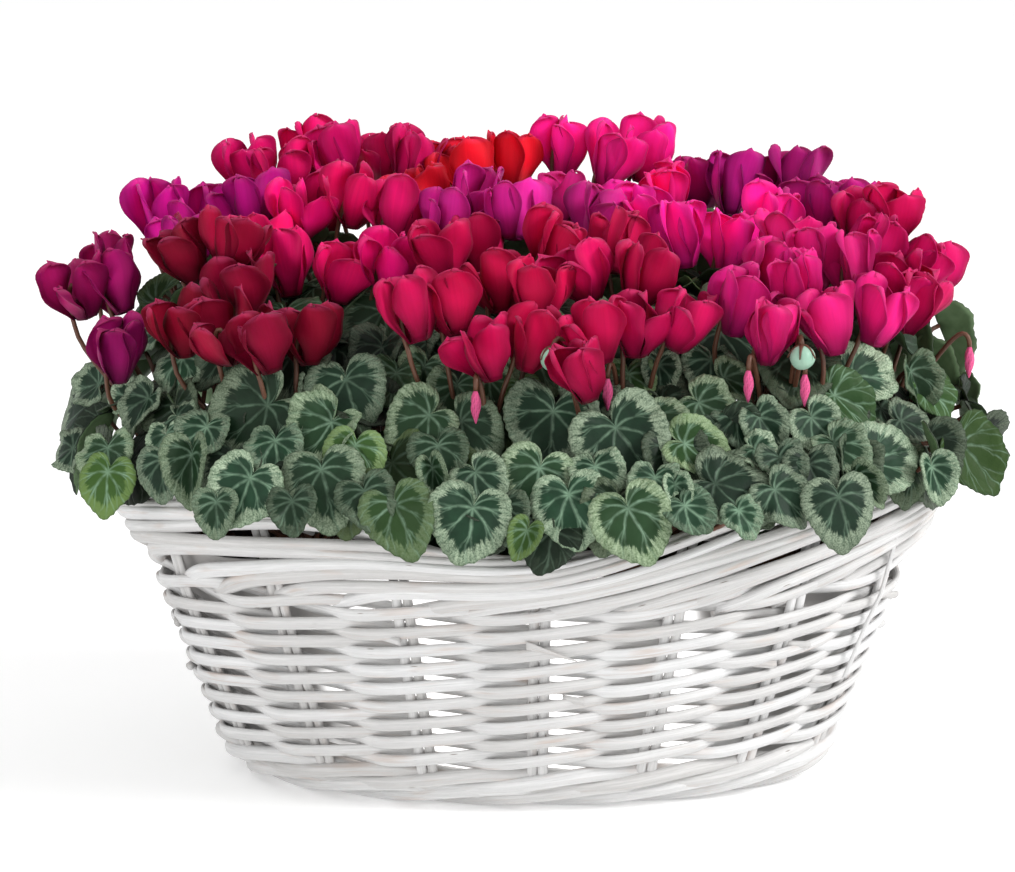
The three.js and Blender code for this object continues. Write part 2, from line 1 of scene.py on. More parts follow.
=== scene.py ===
"""An oval basket of painted willow, planted with small cyclamens.

The makers work in millimetres, and Heap.make turns their corners to metres.
+Z is up, and the front looks along -Y.
"""

import math

import bpy
import numpy as np
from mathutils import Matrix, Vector, noise


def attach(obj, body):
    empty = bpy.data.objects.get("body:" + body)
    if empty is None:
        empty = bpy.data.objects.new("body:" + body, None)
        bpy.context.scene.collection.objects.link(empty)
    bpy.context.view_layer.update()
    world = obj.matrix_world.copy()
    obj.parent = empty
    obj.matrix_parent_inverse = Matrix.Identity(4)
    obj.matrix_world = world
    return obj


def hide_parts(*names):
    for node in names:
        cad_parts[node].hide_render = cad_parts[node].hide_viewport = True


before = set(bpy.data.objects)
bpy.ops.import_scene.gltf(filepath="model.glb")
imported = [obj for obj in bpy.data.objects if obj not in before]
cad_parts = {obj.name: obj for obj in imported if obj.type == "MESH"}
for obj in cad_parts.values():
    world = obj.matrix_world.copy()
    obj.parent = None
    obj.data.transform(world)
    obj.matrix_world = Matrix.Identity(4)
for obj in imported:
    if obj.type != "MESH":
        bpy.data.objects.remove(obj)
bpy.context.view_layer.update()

# ---------------------------------------------------------------- driving dimensions, in millimetres

# Basket wall: an oval that narrows downwards, flares under the border and rounds in at the foot.
RIM_HALF_LENGTH = 216
RIM_HALF_WIDTH = 148
FLARE_START = 107
FLARE_INSET = 24
WALL_SLOPE = 0.366
FLARE_CURVE = 0.0059
ROUNDING_TOP = 17
ROUNDING_CURVE = 0.06
STAKE_OVAL_INSET = 36
RIM_RISE = 23
RIM_DIP = 85
RISE_RANGE = 35
STAKE_PAIRS = 15
STAKE_SHIFT = 0.005
STAKE_FOOT = 9
STAKE_TOP = 138
STAKE_RADIUS = 2.8
STAKE_HALF_DEPTH = 1.8

# The woven rods of the wall: two strands to a row, which swap over between the stakes.
ROW_START = 30.2
ROW_PITCH = 10.2
ROW_TURNS = 9
ROW_FIRST_STAKE = -9
ROW_SWAY = 0.8
ROD_HALF_DEPTH = 2
ROD_HALF_HEIGHT = 3.55
ROD_INSET = 0.5
# A rod passes an even number of stakes, twice a number in this range, and laps over its neighbours' ends.
ROD_REACH = (5, 9)
ROD_LAP = 0.2

# A border rod's course: stakes passed, offset from the wall's middle, and height.
BORDER_COURSE = np.array([
    [-0.6, -5.5, 109], [-0.15, 6, 118], [0.5, 7.5, 124], [1, 7.6, 127.8], [1.5, 7.4, 131.5],
    [2, 6.8, 135], [2.5, 4.5, 139], [3, 0.5, 142], [3.5, -6, 140.5], [3.9, -9.5, 134],
])
BORDER_HALF = 4
# How thick a border rod is along its course: stakes passed, and share of its full thickness.
BORDER_TAPER = np.array([[-0.5, 1.04], [2.5, 1], [3.9, 0.85]])
# The border's rods are thicker by this share where the rim stands highest, and each wanders up and down.
BORDER_SWELL = 0.2
BORDER_SWAY = 1.2
BORDER_LEVEL = 120
# The foot: rows of three strands, each with its rise and fall and its swing out and in.
FOOT_ROWS = [8.4, 17]
FOOT_STRANDS = 3
FOOT_RISE = 4.3
FOOT_SWING = 3.4
FOOT_HALF = 4
FOOT_INSET = 1.2

# The woven floor: ribs, and a spiral of rod over and under them round a straight spine.
FLOOR_HEIGHT = 5.6
FLOOR_SPINE = 68
FLOOR_FIRST_HALF_WIDTH = 5
FLOOR_LAST_HALF_WIDTH = 76
FLOOR_PITCH = 5.1
FLOOR_SWING = 1.5
FLOOR_ROD_HALF_WIDTH = 2.5
FLOOR_ROD_HALF_HEIGHT = 1.9
RIB_RADIUS = 2
RIB_RISE = 2
RIB_END = 8

# Marks of hand work: where the lifted splinter and the loose strand start and end, by stake and height.
SPLINTER_STAKES = (-0.1, 0.28)
SPLINTER_HEIGHTS = (97, 88.5)
STRAND_STAKE = 2.75
STRAND_HEIGHTS = (126, 62)
CUT_ENDS = 14
CUT_END_HEIGHTS = (36, 110)

LINER_OFFSET = -10.6
LINER_GAP = 0.4
CREASE_DEPTH = 0.9
LINER_BOTTOM = 10
LINER_TOP = 130
FILM_THICKNESS = 0.8
# The liner and the peat don't follow the wall's rounding below this height.
STRAIGHT_FROM = 14
PEAT_BOTTOM = 11
PEAT_TOP = 122
PEAT_INSET = 2.6
PEAT_HUMPS = 2.4
PEAT_CRUMBS = 1.8
CROWN_TOP = 137
TUBER_RADIUS = 15
TUBER_HALF_HEIGHT = 11

FOLIAGE_HALF_LENGTH = 245
FOLIAGE_HALF_WIDTH = 170
LEAF_SIZE = (32, 43)
# Blades in the rings are drawn longer by this much, so that they close the mound.
LEAF_STRETCH = 1.12
# Rings of leaves over the mound: inset from its edge, height, how steeply the blades lean out, how much
# higher the ring stands at the two ends, and how much of the rim's rise it follows.
LEAF_RINGS = [
    (8, 165, 66, 14, 1), (34, 184, 56, 24, 0.6), (62, 204, 46, 30, 0.3),
    (92, 220, 38, 26, 0), (122, 232, 30, 16, 0), (151, 240, 20, 6, 0),
]
# The inner leaves have one more ring, the lowest, which fills the gap inside the rim.
FILL_RINGS = [(46, 154, 62, 14, 1), *LEAF_RINGS]
# The skirt of the mound below its rings, and its flat top, in the same terms.
SKIRT_RINGS = [(-60, 90, 80, 14, 1), (-14, 147, 72, 14, 1)]
TOP_RING = (170, 242, 15, 0, 0)
# Every other leaf of a ring stands this much further out or in.
RING_ZIGZAG = 3
# The inner leaves are raised towards the back: the most they rise, where that starts, and over what depth.
BACK_RISE = 60
BACK_RISE_START = -8
BACK_RISE_DEPTH = 62
# Blades and petals are a little thicker than life, so that their edges show.
LEAF_THICKNESS = 0.7
PETAL_THICKNESS = 0.5
STALK_RADIUS = 1.25
STALK_ROOT = 128
# A stalk's section is lined up with this direction, which no stalk follows.
STALK_TWIST = (0.31, 0.94, 0.12)

MOUTH_RADIUS = 4.4
PETALS = 5
PETAL_HEIGHT = 32
PETAL_HALF_WIDTH = 10.8
STEM_RADIUS = 1.25
BUD_LENGTH = 17
BUD_RADIUS = 2
BUD_COLOUR = "#c4527f"
# How far a bloom leans out for each millimetre from its plant's middle, and the most it tips by chance.
BLOOM_LEAN = 0.003
BLOOM_TILT = 0.3
# The nose is this much of the petals' colour.
NOSE_SHADE = 0.6

# The photograph's size in pixels, and the camera that sees the basket as the photograph shows it.
PHOTO_WIDTH = 1015
PHOTO_HEIGHT = 872
CAMERA_DISTANCE = 1650
CAMERA_ELEVATION = math.radians(11)
CAMERA_TARGET = np.array([-10.7, 0, 176])
LENS = 112.5
SENSOR = 36
CAMERA_SIDE = np.array([1.0, 0, 0])
CAMERA_FORWARD = np.array([0, math.cos(CAMERA_ELEVATION), -math.sin(CAMERA_ELEVATION)])
CAMERA_UP = np.array([0, math.sin(CAMERA_ELEVATION), math.cos(CAMERA_ELEVATION)])
CAMERA_PLACE = CAMERA_TARGET - CAMERA_DISTANCE * CAMERA_FORWARD
PIXELS_PER_SLOPE = LENS / SENSOR * PHOTO_WIDTH
# A line of sight is searched for the mound from here to here, past the camera's distance, in such steps.
SIGHT_SEARCH = (-230, 160, 4)

# Each lamp: its place and diameter in metres, and its watts.
KEY_LAMP = ((2.3, -0.9, 1.7), 1.2, 64)
FILL_LAMP = ((-1.7, -2, 0.7), 1.4, 14)
LAMP_AIM = (0, 0, 0.18)
ROOM_LIGHT = 0.8
FLOOR_SIZE = 40
FAR_CLIP = 60

# Each plant: where its tuber sits, its flower colour, how far its flowers open, where each of their mouths
# hangs, and where the tip of each bud does.
PLANTS = {
    "plum": ((-166, -12), "#940f58", 1.1, [(-226, -22, 243), (-216, 8, 247), (-206, -48, 215)], []),
    "purple": ((-134, 55), "#b8127a", 1.05, [
        (-193, 60, 270), (-180, 32, 260), (-169, 74, 272), (-142, 42, 277), (-144, 18, 247)], []),
    "magenta_red": ((-66, 82), "#c60f60", 1, [
        (-148, 92, 292), (-126, 72, 290), (-119, 108, 300), (-98, 86, 300), (-82, 108, 295), (-66, 86, 298),
        (-106, 52, 278)], []),
    "scarlet": ((4, 84), "#d21026", 1.1, [
        (-40, 100, 291), (-30, 72, 288), (-10, 84, 294), (-8, 110, 288), (-56, 58, 281)], []),
    "pink_magenta": ((72, 82), "#ff1e86", 0.95, [
        (20, 98, 302), (42, 84, 297), (62, 100, 299), (78, 70, 284)], []),
    "deep_purple": ((138, 56), "#a01268", 1.05, [
        (93, 96, 282), (108, 72, 284), (124, 92, 284), (142, 77, 287), (150, 52, 272), (172, 60, 274)], []),
    "red": ((-84, 8), "#e01066", 1.15, [
        (-122, -8, 252), (-98, -22, 251), (-92, 22, 284), (-70, 8, 277), (-72, -26, 258),
        (-120, 22, 277)], []),
    "violet_pink": ((-2, 8), "#c82080", 1.1, [
        (-28, 22, 284), (-8, -6, 281), (18, 30, 283), (-42, -2, 276), (34, 4, 275)], []),
    "hot_pink": ((82, 4), "#ff2098", 0.95, [(80, -8, 267), (102, 8, 260), (58, 42, 270), (66, 14, 270)], []),
    "bright_magenta": ((168, -8), "#c40f5a", 1.05, [
        (172, 24, 273), (190, 10, 277), (174, -14, 264), (196, -12, 256), (207, 4, 250), (191, -36, 239)],
        [(224, -30, 212)]),
    "dark_red": ((-108, -66), "#84082a", 1.2, [
        (-170, -72, 232), (-146, -88, 231), (-126, -98, 228), (-108, -84, 229), (-140, -54, 248),
        (-168, -30, 262), (-150, -34, 266)], []),
    "crimson": ((-24, -78), "#b20b42", 0.95, [
        (-54, -98, 243), (-36, -90, 245), (-18, -108, 226), (-2, -100, 229), (-14, -64, 252), (-40, -46, 265),
        (6, -84, 250), (8, -40, 266)], [(-26, -118, 205)]),
    "rose": ((50, -78), "#b80e4a", 0.95, [
        (34, -102, 233), (52, -94, 235), (28, -120, 219), (30, -64, 258), (54, -60, 255), (72, -90, 238),
        (42, -34, 268)], [(38, -100, 208)]),
    "bright_pink": ((124, -60), "#d61c74", 0.95, [
        (100, -74, 243), (120, -44, 254), (144, -38, 258), (164, -46, 257), (134, -68, 251), (150, -84, 235),
        (170, -68, 237), (116, -90, 232), (132, -16, 267)], [(106, -106, 213), (134, -100, 210)]),
}

# Leaves that the photograph shows along the front: the blade's middle and length in its pixels, the way its
# tip points (degrees from straight down, towards the right), how steeply it faces out, how far it is folded
# along its midrib, and how silver and how yellow it is.
FRONT_LEAVES = [
    (246, 420, 104, -52, 66, 0.2, 0.9, 0.1), (124, 394, 44, -110, 60, 0.3, 1, 0),
    (139, 411, 58, -25, 60, 0.8, 1, 0), (76, 411, 82, -60, 58, 0.2, 1, 0),
    (64, 450, 48, -75, 60, 0.2, 1, 0), (104, 488, 64, -4, 66, 0.2, 0.6, 1),
    (107, 462, 62, 20, 52, 0.2, 0.8, 0.2), (160, 474, 56, 5, 58, 0.2, 0.6, 0),
    (166, 444, 44, 12, 56, 0.3, 0.8, 0), (186, 421, 46, 70, 45, 0.2, 0.9, 0),
    (191, 474, 74, 4, 72, 1.1, 0.8, 0.2), (177, 372, 60, 0, 52, 0.2, 0.7, 0),
    (153, 330, 60, -70, 55, 0.3, 0.7, 0), (164, 292, 50, 150, 60, 0.9, 0.4, 0.7),
    (241, 496, 78, -22, 66, 0.1, 0.9, 0), (323, 490, 86, 10, 56, 0, 0.8, 0.1),
    (304, 411, 58, -86, 35, 0.6, 1, 0.2), (318, 392, 50, -20, 55, 0.4, 0.9, 0),
    (352, 462, 64, -8, 72, 0.1, 0.8, 0.8), (348, 400, 84, 12, 62, 0.1, 0.6, 0),
    (418, 380, 56, -20, 62, 0.4, 1, 0.3), (414, 427, 74, -50, 64, 0.2, 0.9, 0.2),
    (474, 434, 72, 44, 62, 0.2, 0.7, 0.1), (401, 524, 78, 18, 64, 0.3, 0.5, 0.6),
    (467, 528, 84, -15, 66, 0.2, 0.8, 0), (484, 484, 60, 35, 56, 0.3, 0.9, 0),
    (533, 486, 76, -20, 74, 0.05, 1, 0.2), (437, 482, 56, 18, 80, 1.6, 0.8, 0.2),
    (293, 514, 52, 10, 56, 0.2, 0.3, 0.1), (433, 352, 46, 30, 52, 0.5, 1, 0.1),
    (392, 386, 56, -10, 50, 0.2, 0.1, 0.4), (541, 374, 64, 10, 52, 0.3, 0.7, 0.4),
    (524, 397, 42, 16, 58, 0.3, 0.4, 1), (496, 390, 50, 32, 52, 0.5, 0.9, 0.3),
    (548, 434, 96, -14, 58, 0.1, 0.6, 0), (628, 450, 100, 26, 68, 0.1, 1, 0),
    (636, 528, 84, 20, 68, 0.2, 1, 0.3), (573, 514, 80, 10, 62, 0.1, 0.7, 0),
    (522, 541, 46, -25, 70, 0.9, 0.7, 1), (694, 516, 54, 34, 50, 0.2, 0.2, 0),
    (738, 492, 94, 62, 42, 0.1, 0.9, 0), (678, 496, 44, 10, 66, 1.1, 0.9, 0),
    (702, 450, 72, 68, 62, 0.7, 1, 0.5), (712, 412, 64, 50, 56, 0.2, 1, 0.2),
    (662, 434, 70, 20, 50, 0.2, 0.9, 0.2), (708, 374, 60, -20, 58, 0.2, 0.9, 0),
    (736, 384, 52, 58, 56, 0.5, 1, 0.3), (659, 378, 52, -8, 62, 0.8, 1, 0),
    (669, 350, 56, 58, 56, 0.3, 0.8, 0.2), (630, 388, 56, 0, 56, 0.3, 0.6, 0.6),
    (630, 362, 44, 60, 40, 0.5, 0.9, 0.4), (767, 430, 58, 26, 68, 0.6, 0.8, 0),
    (819, 430, 58, 28, 72, 0.1, 0.9, 0), (766, 456, 50, 55, 50, 0.5, 1, 0),
    (814, 478, 60, 6, 52, 0.3, 0.7, 0), (842, 516, 76, 6, 74, 0.1, 1, 0),
    (786, 502, 64, 36, 60, 0.2, 0.7, 0), (866, 488, 56, 38, 76, 1.4, 1, 0.2),
    (888, 458, 84, 98, 56, 0.4, 0.8, 0), (850, 404, 70, 56, 58, 0.6, 0.05, 0.5),
    (868, 380, 70, 64, 52, 0.3, 1, 0), (915, 388, 66, 6, 72, 0.9, 0.5, 0.2),
    (936, 398, 60, 30, 60, 0.3, 0.05, 0.7), (973, 462, 82, 28, 72, 0.2, 0.05, 1),
    (934, 481, 56, 6, 78, 0.8, 0.8, 0), (914, 426, 56, 60, 50, 0.4, 0.9, 0),
    (215, 365, 60, -30, 52, 0.3, 0.6, 0.1), (90, 385, 56, -80, 58, 0.3, 0.9, 0),
    (200, 440, 60, -10, 48, 0.2, 0.5, 0), (275, 455, 60, 10, 52, 0.2, 0.4, 0),
    (370, 330, 90, -20, 52, 0.2, 0.4, 0.2), (415, 340, 70, 15, 52, 0.3, 0.8, 0),
    (455, 400, 60, -5, 54, 0.3, 0.8, 0.2), (600, 480, 60, 15, 50, 0.3, 0.8, 0),
    (590, 400, 64, 0, 50, 0.3, 0.8, 0), (440, 460, 64, 10, 46, 0.2, 0.3, 0.1),
    (370, 505, 64, 25, 50, 0.2, 0.4, 0.1), (785, 470, 56, 10, 46, 0.3, 0.5, 0),
    (845, 455, 64, 30, 46, 0.3, 0.6, 0.1), (655, 490, 56, -5, 44, 0.2, 0.6, 0),
    (745, 430, 60, 20, 44, 0.2, 0.4, 0), (505, 520, 56, 10, 50, 0.2, 0.5, 0.1),
    (215, 515, 50, 0, 66, 0.3, 0.6, 0.1), (745, 520, 44, 25, 52, 0.3, 0.4, 0),
]

# Blooms that fill the gaps between the others, by plant, as the real ones crowd together there.
GAP_BLOOMS = {
    "plum": [(-206, -24, 246)], "red": [(-137, -2, 262)], "crimson": [(-24, -20, 263)],
    "hot_pink": [(128, 28, 272)], "bright_magenta": [(183, -36, 249)],
}

# Two flowers have set seed: each pod's plant and place.
PODS = [("rose", (11, -114, 236)), ("bright_pink", (132, -104, 235))]
POD_RADIUS = 6.2


# ---------------------------------------------------------------- numbers, colours, meshes


def draws_from(seed):
    """One seeded series of random draws, made the same way as for the solids."""
    state = seed

    def draw(low, high):
        nonlocal state
        state = state * 48271 % 2147483647
        return low + (high - low) * state / 2147483647

    return draw


def colour(hex_code):
    """The linear colour of an sRGB hex code."""
    parts = [int(hex_code[k : k + 2], 16) / 255 for k in (1, 3, 5)]
    return (*(c / 12.92 if c <= 0.04045 else ((c + 0.055) / 1.055) ** 2.4 for c in parts), 1)


def unit(vectors):
    """The same directions, each one long."""
    vectors = np.asarray(vectors, float)
    return vectors / np.linalg.norm(vectors, axis=-1, keepdims=True)


def grid_faces(rows, columns, closed=False):
    """Four-cornered faces between rows of points. Closed joins the last point of a row to its first."""
    row, column = np.mgrid[0 : rows - 1, 0 : columns if closed else columns - 1]
    low = row * columns
    right = (column + 1) % columns
    corners = [low + column, low + right, low + columns + right, low + columns + column]
    return np.stack(corners, -1).reshape(-1, 4)


class Heap:
    """Gathers the corners and faces of one piece, with two triples of facts that its material reads.

    Place says where a corner lies on its rod, blade or petal, and tint says how it is coloured.
    """

    def __init__(self):
        self.count = 0
        self.corners, self.faces, self.place, self.tint = [], [], [], []

    def add(self, corners, faces, place=(0, 0, 0), tint=(0, 0, 0)):
        size = (len(corners), 3)
        self.corners.append(corners)
        self.faces += [np.asarray(block) + self.count for block in faces]
        self.place.append(np.broadcast_to(place, size))
        self.tint.append(np.broadcast_to(tint, size))
        self.count += len(corners)

    def add_stack(self, rings, place=(0, 0, 0), tint=(0, 0, 0)):
        """Adds a closed form through a stack of rings, with a flat face on the first and on the last."""
        rings = np.asarray(rings)
        rows, columns = rings.shape[:2]
        first = np.arange(columns)[::-1]
        last = np.arange(columns) + (rows - 1) * columns
        sides = grid_faces(rows, columns, closed=True)
        self.add(rings.reshape(-1, 3), [sides, [first], [last]], place, tint)

    def make(self, name, material, slot, *nodes):
        """The piece itself: smooth, riding on the root and standing for the CAD nodes."""
        mesh = bpy.data.meshes.new(name)
        corners = np.concatenate(self.corners) / 1000
        mesh.from_pydata(corners.tolist(), [], [face for block in self.faces for face in block.tolist()])
        for fact in ("place", "tint"):
            values = mesh.attributes.new(fact, "FLOAT_VECTOR", "POINT")
            values.data.foreach_set("vector", np.concatenate(getattr(self, fact)).astype(np.float32).ravel())
        mesh.shade_smooth()
        mesh.materials.append(material)
        piece = bpy.data.objects.new(name, mesh)
        bpy.context.scene.collection.objects.link(piece)
        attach(piece, "root")
        if nodes:
            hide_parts(*nodes)
        return piece


def thicken(piece, millimetres, back=None):
    """Gives a sheet its thickness, and another material to its back where one is given."""
    solid = piece.modifiers.new("thickness", "SOLIDIFY")
    solid.thickness = millimetres / 1000
    solid.offset = 0
    if back:
        piece.data.materials.append(back)
        solid.material_offset = 1


def bend(points, count):
    """A smooth course that starts and ends at the outer points and is drawn towards those between."""
    share = np.linspace(0, 1, count)[:, None]
    level = [np.broadcast_to(np.asarray(p, float), (count, 3)) for p in points]
    while len(level) > 1:
        level = [a + (b - a) * share for a, b in zip(level, level[1:])]
    return level[0]


def add_tube(heap, middles, across, upward, half_across, half_up, seed, tone=0.5, sides=10):
    """A rod along its middles, with an oval section in the two directions given and a flat cut at each end.

    Its material reads the millimetres along it and round it, its seed and its tone.
    """
    count = len(middles)
    turn = np.linspace(0, 2 * math.pi, sides, endpoint=False)
    wide = np.broadcast_to(half_across, count)[:, None, None] * np.cos(turn)[None, :, None]
    high = np.broadcast_to(half_up, count)[:, None, None] * np.sin(turn)[None, :, None]
    rings = middles[:, None] + across[:, None] * wide + upward[:, None] * high
    steps = np.linalg.norm(np.diff(middles, axis=0), axis=1)
    along = np.concatenate([[0], np.cumsum(steps)])
    place = np.stack(np.broadcast_arrays(along[:, None], (turn * np.mean(half_up))[None], seed), -1)
    heap.add_stack(rings, place.reshape(-1, 3), (tone, 0, 0))


def add_stalk(heap, middles, radius, seed, sides=7):
    """A round stalk along its middles."""
    tangent = unit(np.gradient(middles, axis=0))
    across = unit(np.cross(tangent, unit(STALK_TWIST)))
    add_tube(heap, middles, across, np.cross(tangent, across), radius, radius, seed, sides=sides)


# ---------------------------------------------------------------- the oval wall

# Angles on an oval at every half degree, from the front towards +X.
OVAL_TURNS = np.linspace(-math.pi / 2, 3 * math.pi / 2, 721)


def oval_angles(half_length, half_width, shares):
    """Angles on an oval at shares of its way round, counted from the front towards +X."""
    middles = (OVAL_TURNS[1:] + OVAL_TURNS[:-1]) / 2
    steps = np.hypot(half_length * np.sin(middles), half_width * np.cos(middles))
    way = np.concatenate([[0], np.cumsum(steps)]) / steps.sum()
    shares = np.asarray(shares, float)
    whole = np.floor(shares)
    return np.interp(shares - whole, way, OVAL_TURNS) + 2 * math.pi * whole


def oval_points(half_length, half_width, angles, offset, height):
    """Points on an oval moved out along its normals, and those normals."""
    normal = unit(np.stack([np.cos(angles) / half_length, np.sin(angles) / half_width, 0 * angles], -1))
    flat = np.stack([half_length * np.cos(angles), half_width * np.sin(angles), height + 0 * angles], -1)
    return flat + normal * np.asarray(offset)[..., None], normal


def wall_inset(height):
    """How far inside the rim's oval the middle of the wall lies at a height."""
    height = np.asarray(height, float)
    flare = np.maximum(height - FLARE_START, 0)
    rounding = np.maximum(ROUNDING_TOP - height, 0)
    straight = FLARE_INSET - WALL_SLOPE * (height - FLARE_START)
    return straight - FLARE_CURVE * flare**2 + ROUNDING_CURVE * rounding**2


def rim_rise(x):
    """How much higher the rim stands at a place along the basket than over its middle."""
    return RIM_RISE * (1 - np.exp(-((x / RIM_DIP) ** 2)))


def wall_places(stakes, height, offset):
    """Places in the wall by stake number and height, with the wall's outward and upward directions.

    The height is the one over the middle. Elsewhere the top of the wall is raised with the rim.
    """
    stakes, height = np.broadcast_arrays(np.asarray(stakes, float), np.asarray(height, float))
    inset = wall_inset(height)
    shares = stakes / STAKE_PAIRS + STAKE_SHIFT
    angles = oval_angles(RIM_HALF_LENGTH - STAKE_OVAL_INSET, RIM_HALF_WIDTH - STAKE_OVAL_INSET, shares)
    points, normal = oval_points(RIM_HALF_LENGTH - inset, RIM_HALF_WIDTH - inset, angles, offset, height)
    points[..., 2] += rim_rise(points[..., 0]) * np.maximum(height - FLARE_START, 0) / RISE_RANGE
    slope = wall_inset(height - 0.5) - wall_inset(height + 0.5)
    return points, normal, unit(np.array([0, 0, 1]) + normal * slope[..., None])


# ---------------------------------------------------------------- materials


def add(tree, kind, inputs=None, **options):
    """Adds a node, sets its options, and gives each input a value or a link."""
    node = tree.nodes.new("ShaderNode" + kind)
    for option, value in options.items():
        setattr(node, option, value)
    for socket, value in (inputs or {}).items():
        if isinstance(value, bpy.types.Node):
            value = next(output for output in value.outputs if output.enabled)
        if isinstance(value, bpy.types.NodeSocket):
            tree.links.new(value, node.inputs[socket])
        else:
            node.inputs[socket].default_value = value
    return node


def new_material(name, **settings):
    """A material with one shader, whose plain settings are given by name."""
    material = bpy.data.materials.new(name)
    material.use_nodes = True
    shader = material.node_tree.nodes["Principled BSDF"]
    for socket, value in settings.items():
        shader.inputs[socket.replace("_", " ")].default_value = value
    return material, material.node_tree, shader


def painted_willow():
    """Peeled willow rods under matt white paint.

    The eye sees off-white with fine grain along each rod, pin knots and faint brown stains.
    """
    material, tree, shader = new_material("painted_willow", Roughness=0.62, IOR=1.45)
    place = add(tree, "Attribute", attribute_name="place").outputs["Vector"]
    tint = add(tree, "SeparateXYZ", {0: add(tree, "Attribute", attribute_name="tint").outputs["Vector"]})
    # Grain lines are 1 mm apart and about 25 mm long.
    lengthwise = add(tree, "VectorMath", {0: place, 1: (1 / 25, 1, 5)}, operation="MULTIPLY")
    grain = add(tree, "TexNoise", {"Vector": lengthwise, "Scale": 1, "Detail": 4, "Roughness": 0.65})
    # Stains are about 33 mm long and 8 mm wide.
    blotch = add(tree, "VectorMath", {0: place, 1: (0.03, 0.12, 3)}, operation="MULTIPLY")
    stain = add(tree, "TexNoise", {"Vector": blotch, "Scale": 1, "Detail": 2})
    # Every rod has its own depth of paint.
    paint = add(tree, "Mix", {0: tint.outputs["X"], 6: colour("#c2c0be"), 7: colour("#dcdcdc")},
                data_type="RGBA")
    lines = add(tree, "MapRange", {"Value": grain, "From Min": 0.3, "From Max": 0.6,
                                   "To Min": 0.8, "To Max": 1.02})
    grained = add(tree, "Mix", {0: 1, 6: paint, 7: lines}, data_type="RGBA", blend_type="MULTIPLY")
    stained = add(tree, "MapRange", {"Value": stain, "From Min": 0.58, "From Max": 0.8, "To Max": 0.6})
    warm = add(tree, "Mix", {0: stained, 6: grained, 7: colour("#b9a294")}, data_type="RGBA")
    # Pin knots, where side shoots were rubbed off: short strokes, in one of five cells 20 mm long.
    spots = add(tree, "VectorMath", {0: place, 1: (1 / 20, 0.28, 2)}, operation="MULTIPLY")
    cells = add(tree, "TexVoronoi", {"Vector": spots, "Scale": 1})
    chosen = add(tree, "SeparateXYZ", {0: cells.outputs["Color"]})
    rare = add(tree, "Math", {0: chosen.outputs["X"], 1: 0.8}, operation="GREATER_THAN")
    near = add(tree, "MapRange", {"Value": cells.outputs["Distance"], "From Min": 0.06, "From Max": 0.13,
                                  "To Min": 0.8, "To Max": 0})
    knot = add(tree, "Math", {0: rare, 1: near}, operation="MULTIPLY")
    knotted = add(tree, "Mix", {0: knot, 6: warm, 7: colour("#6d6055")}, data_type="RGBA")
    tree.links.new(knotted.outputs[2], shader.inputs["Base Color"])
    relief = add(tree, "Bump", {"Height": grain, "Strength": 0.5, "Distance": 0.0008})
    tree.links.new(relief.outputs[0], shader.inputs["Normal"])
    return material


def white_film():
    """Blown polythene film, soft in its gloss: painted light makes it glow white along the flat sides,
    painted shade greys its ends.
    """
    material, tree, shader = new_material("polythene_film", Roughness=0.45, IOR=1.5)
    shader.inputs["Emission Color"].default_value = colour("#ffffff")
    place = add(tree, "TexCoord").outputs["Object"]
    where = add(tree, "SeparateXYZ", {0: place})
    aside = add(tree, "Math", {0: where.outputs["X"]}, operation="ABSOLUTE")
    # Painted light: the film is white and glows along the flat sides. Painted shade: it turns grey towards
    # the two ends, along a ragged edge of blotches about 26 mm wide. The places here are in metres.
    folds = add(tree, "TexNoise", {"Vector": place, "Scale": 38, "Detail": 1})
    near = add(tree, "Math", {0: folds, 1: 0.09, 2: aside}, operation="MULTIPLY_ADD")
    painted_light_mask = add(tree, "MapRange", {"Value": near, "From Min": 0.125, "From Max": 0.15,
                                 "To Min": 1, "To Max": 0.05}, interpolation_type="SMOOTHSTEP")
    white = add(tree, "Mix", {0: painted_light_mask, 6: colour("#b5b1ae"), 7: colour("#f4f3f1")}, data_type="RGBA")
    tree.links.new(white.outputs[2], shader.inputs["Base Color"])
    # The film glows where it is painted lit, though it is no lamp.
    tree.links.new(painted_light_mask.outputs[0], shader.inputs["Emission Strength"])
    return material


def moist_peat():
    """Milled peat: nearly black, crumbly, with paler fibres about 2 mm across."""
    material, tree, shader = new_material("moist_peat", Roughness=0.95)
    where = add(tree, "TexCoord").outputs["Object"]
    crumbs = add(tree, "TexNoise", {"Vector": where, "Scale": 450, "Detail": 5})
    ramp = add(tree, "ValToRGB", {0: crumbs})
    ramp.color_ramp.elements[0].position = 0.35
    ramp.color_ramp.elements[0].color = colour("#15100c")
    ramp.color_ramp.elements[1].position = 0.72
    ramp.color_ramp.elements[1].color = colour("#4a382a")
    tree.links.new(ramp.outputs[0], shader.inputs["Base Color"])
    relief = add(tree, "Bump", {"Height": crumbs, "Strength": 0.8, "Distance": 0.002})
    tree.links.new(relief.outputs[0], shader.inputs["Normal"])
    return material


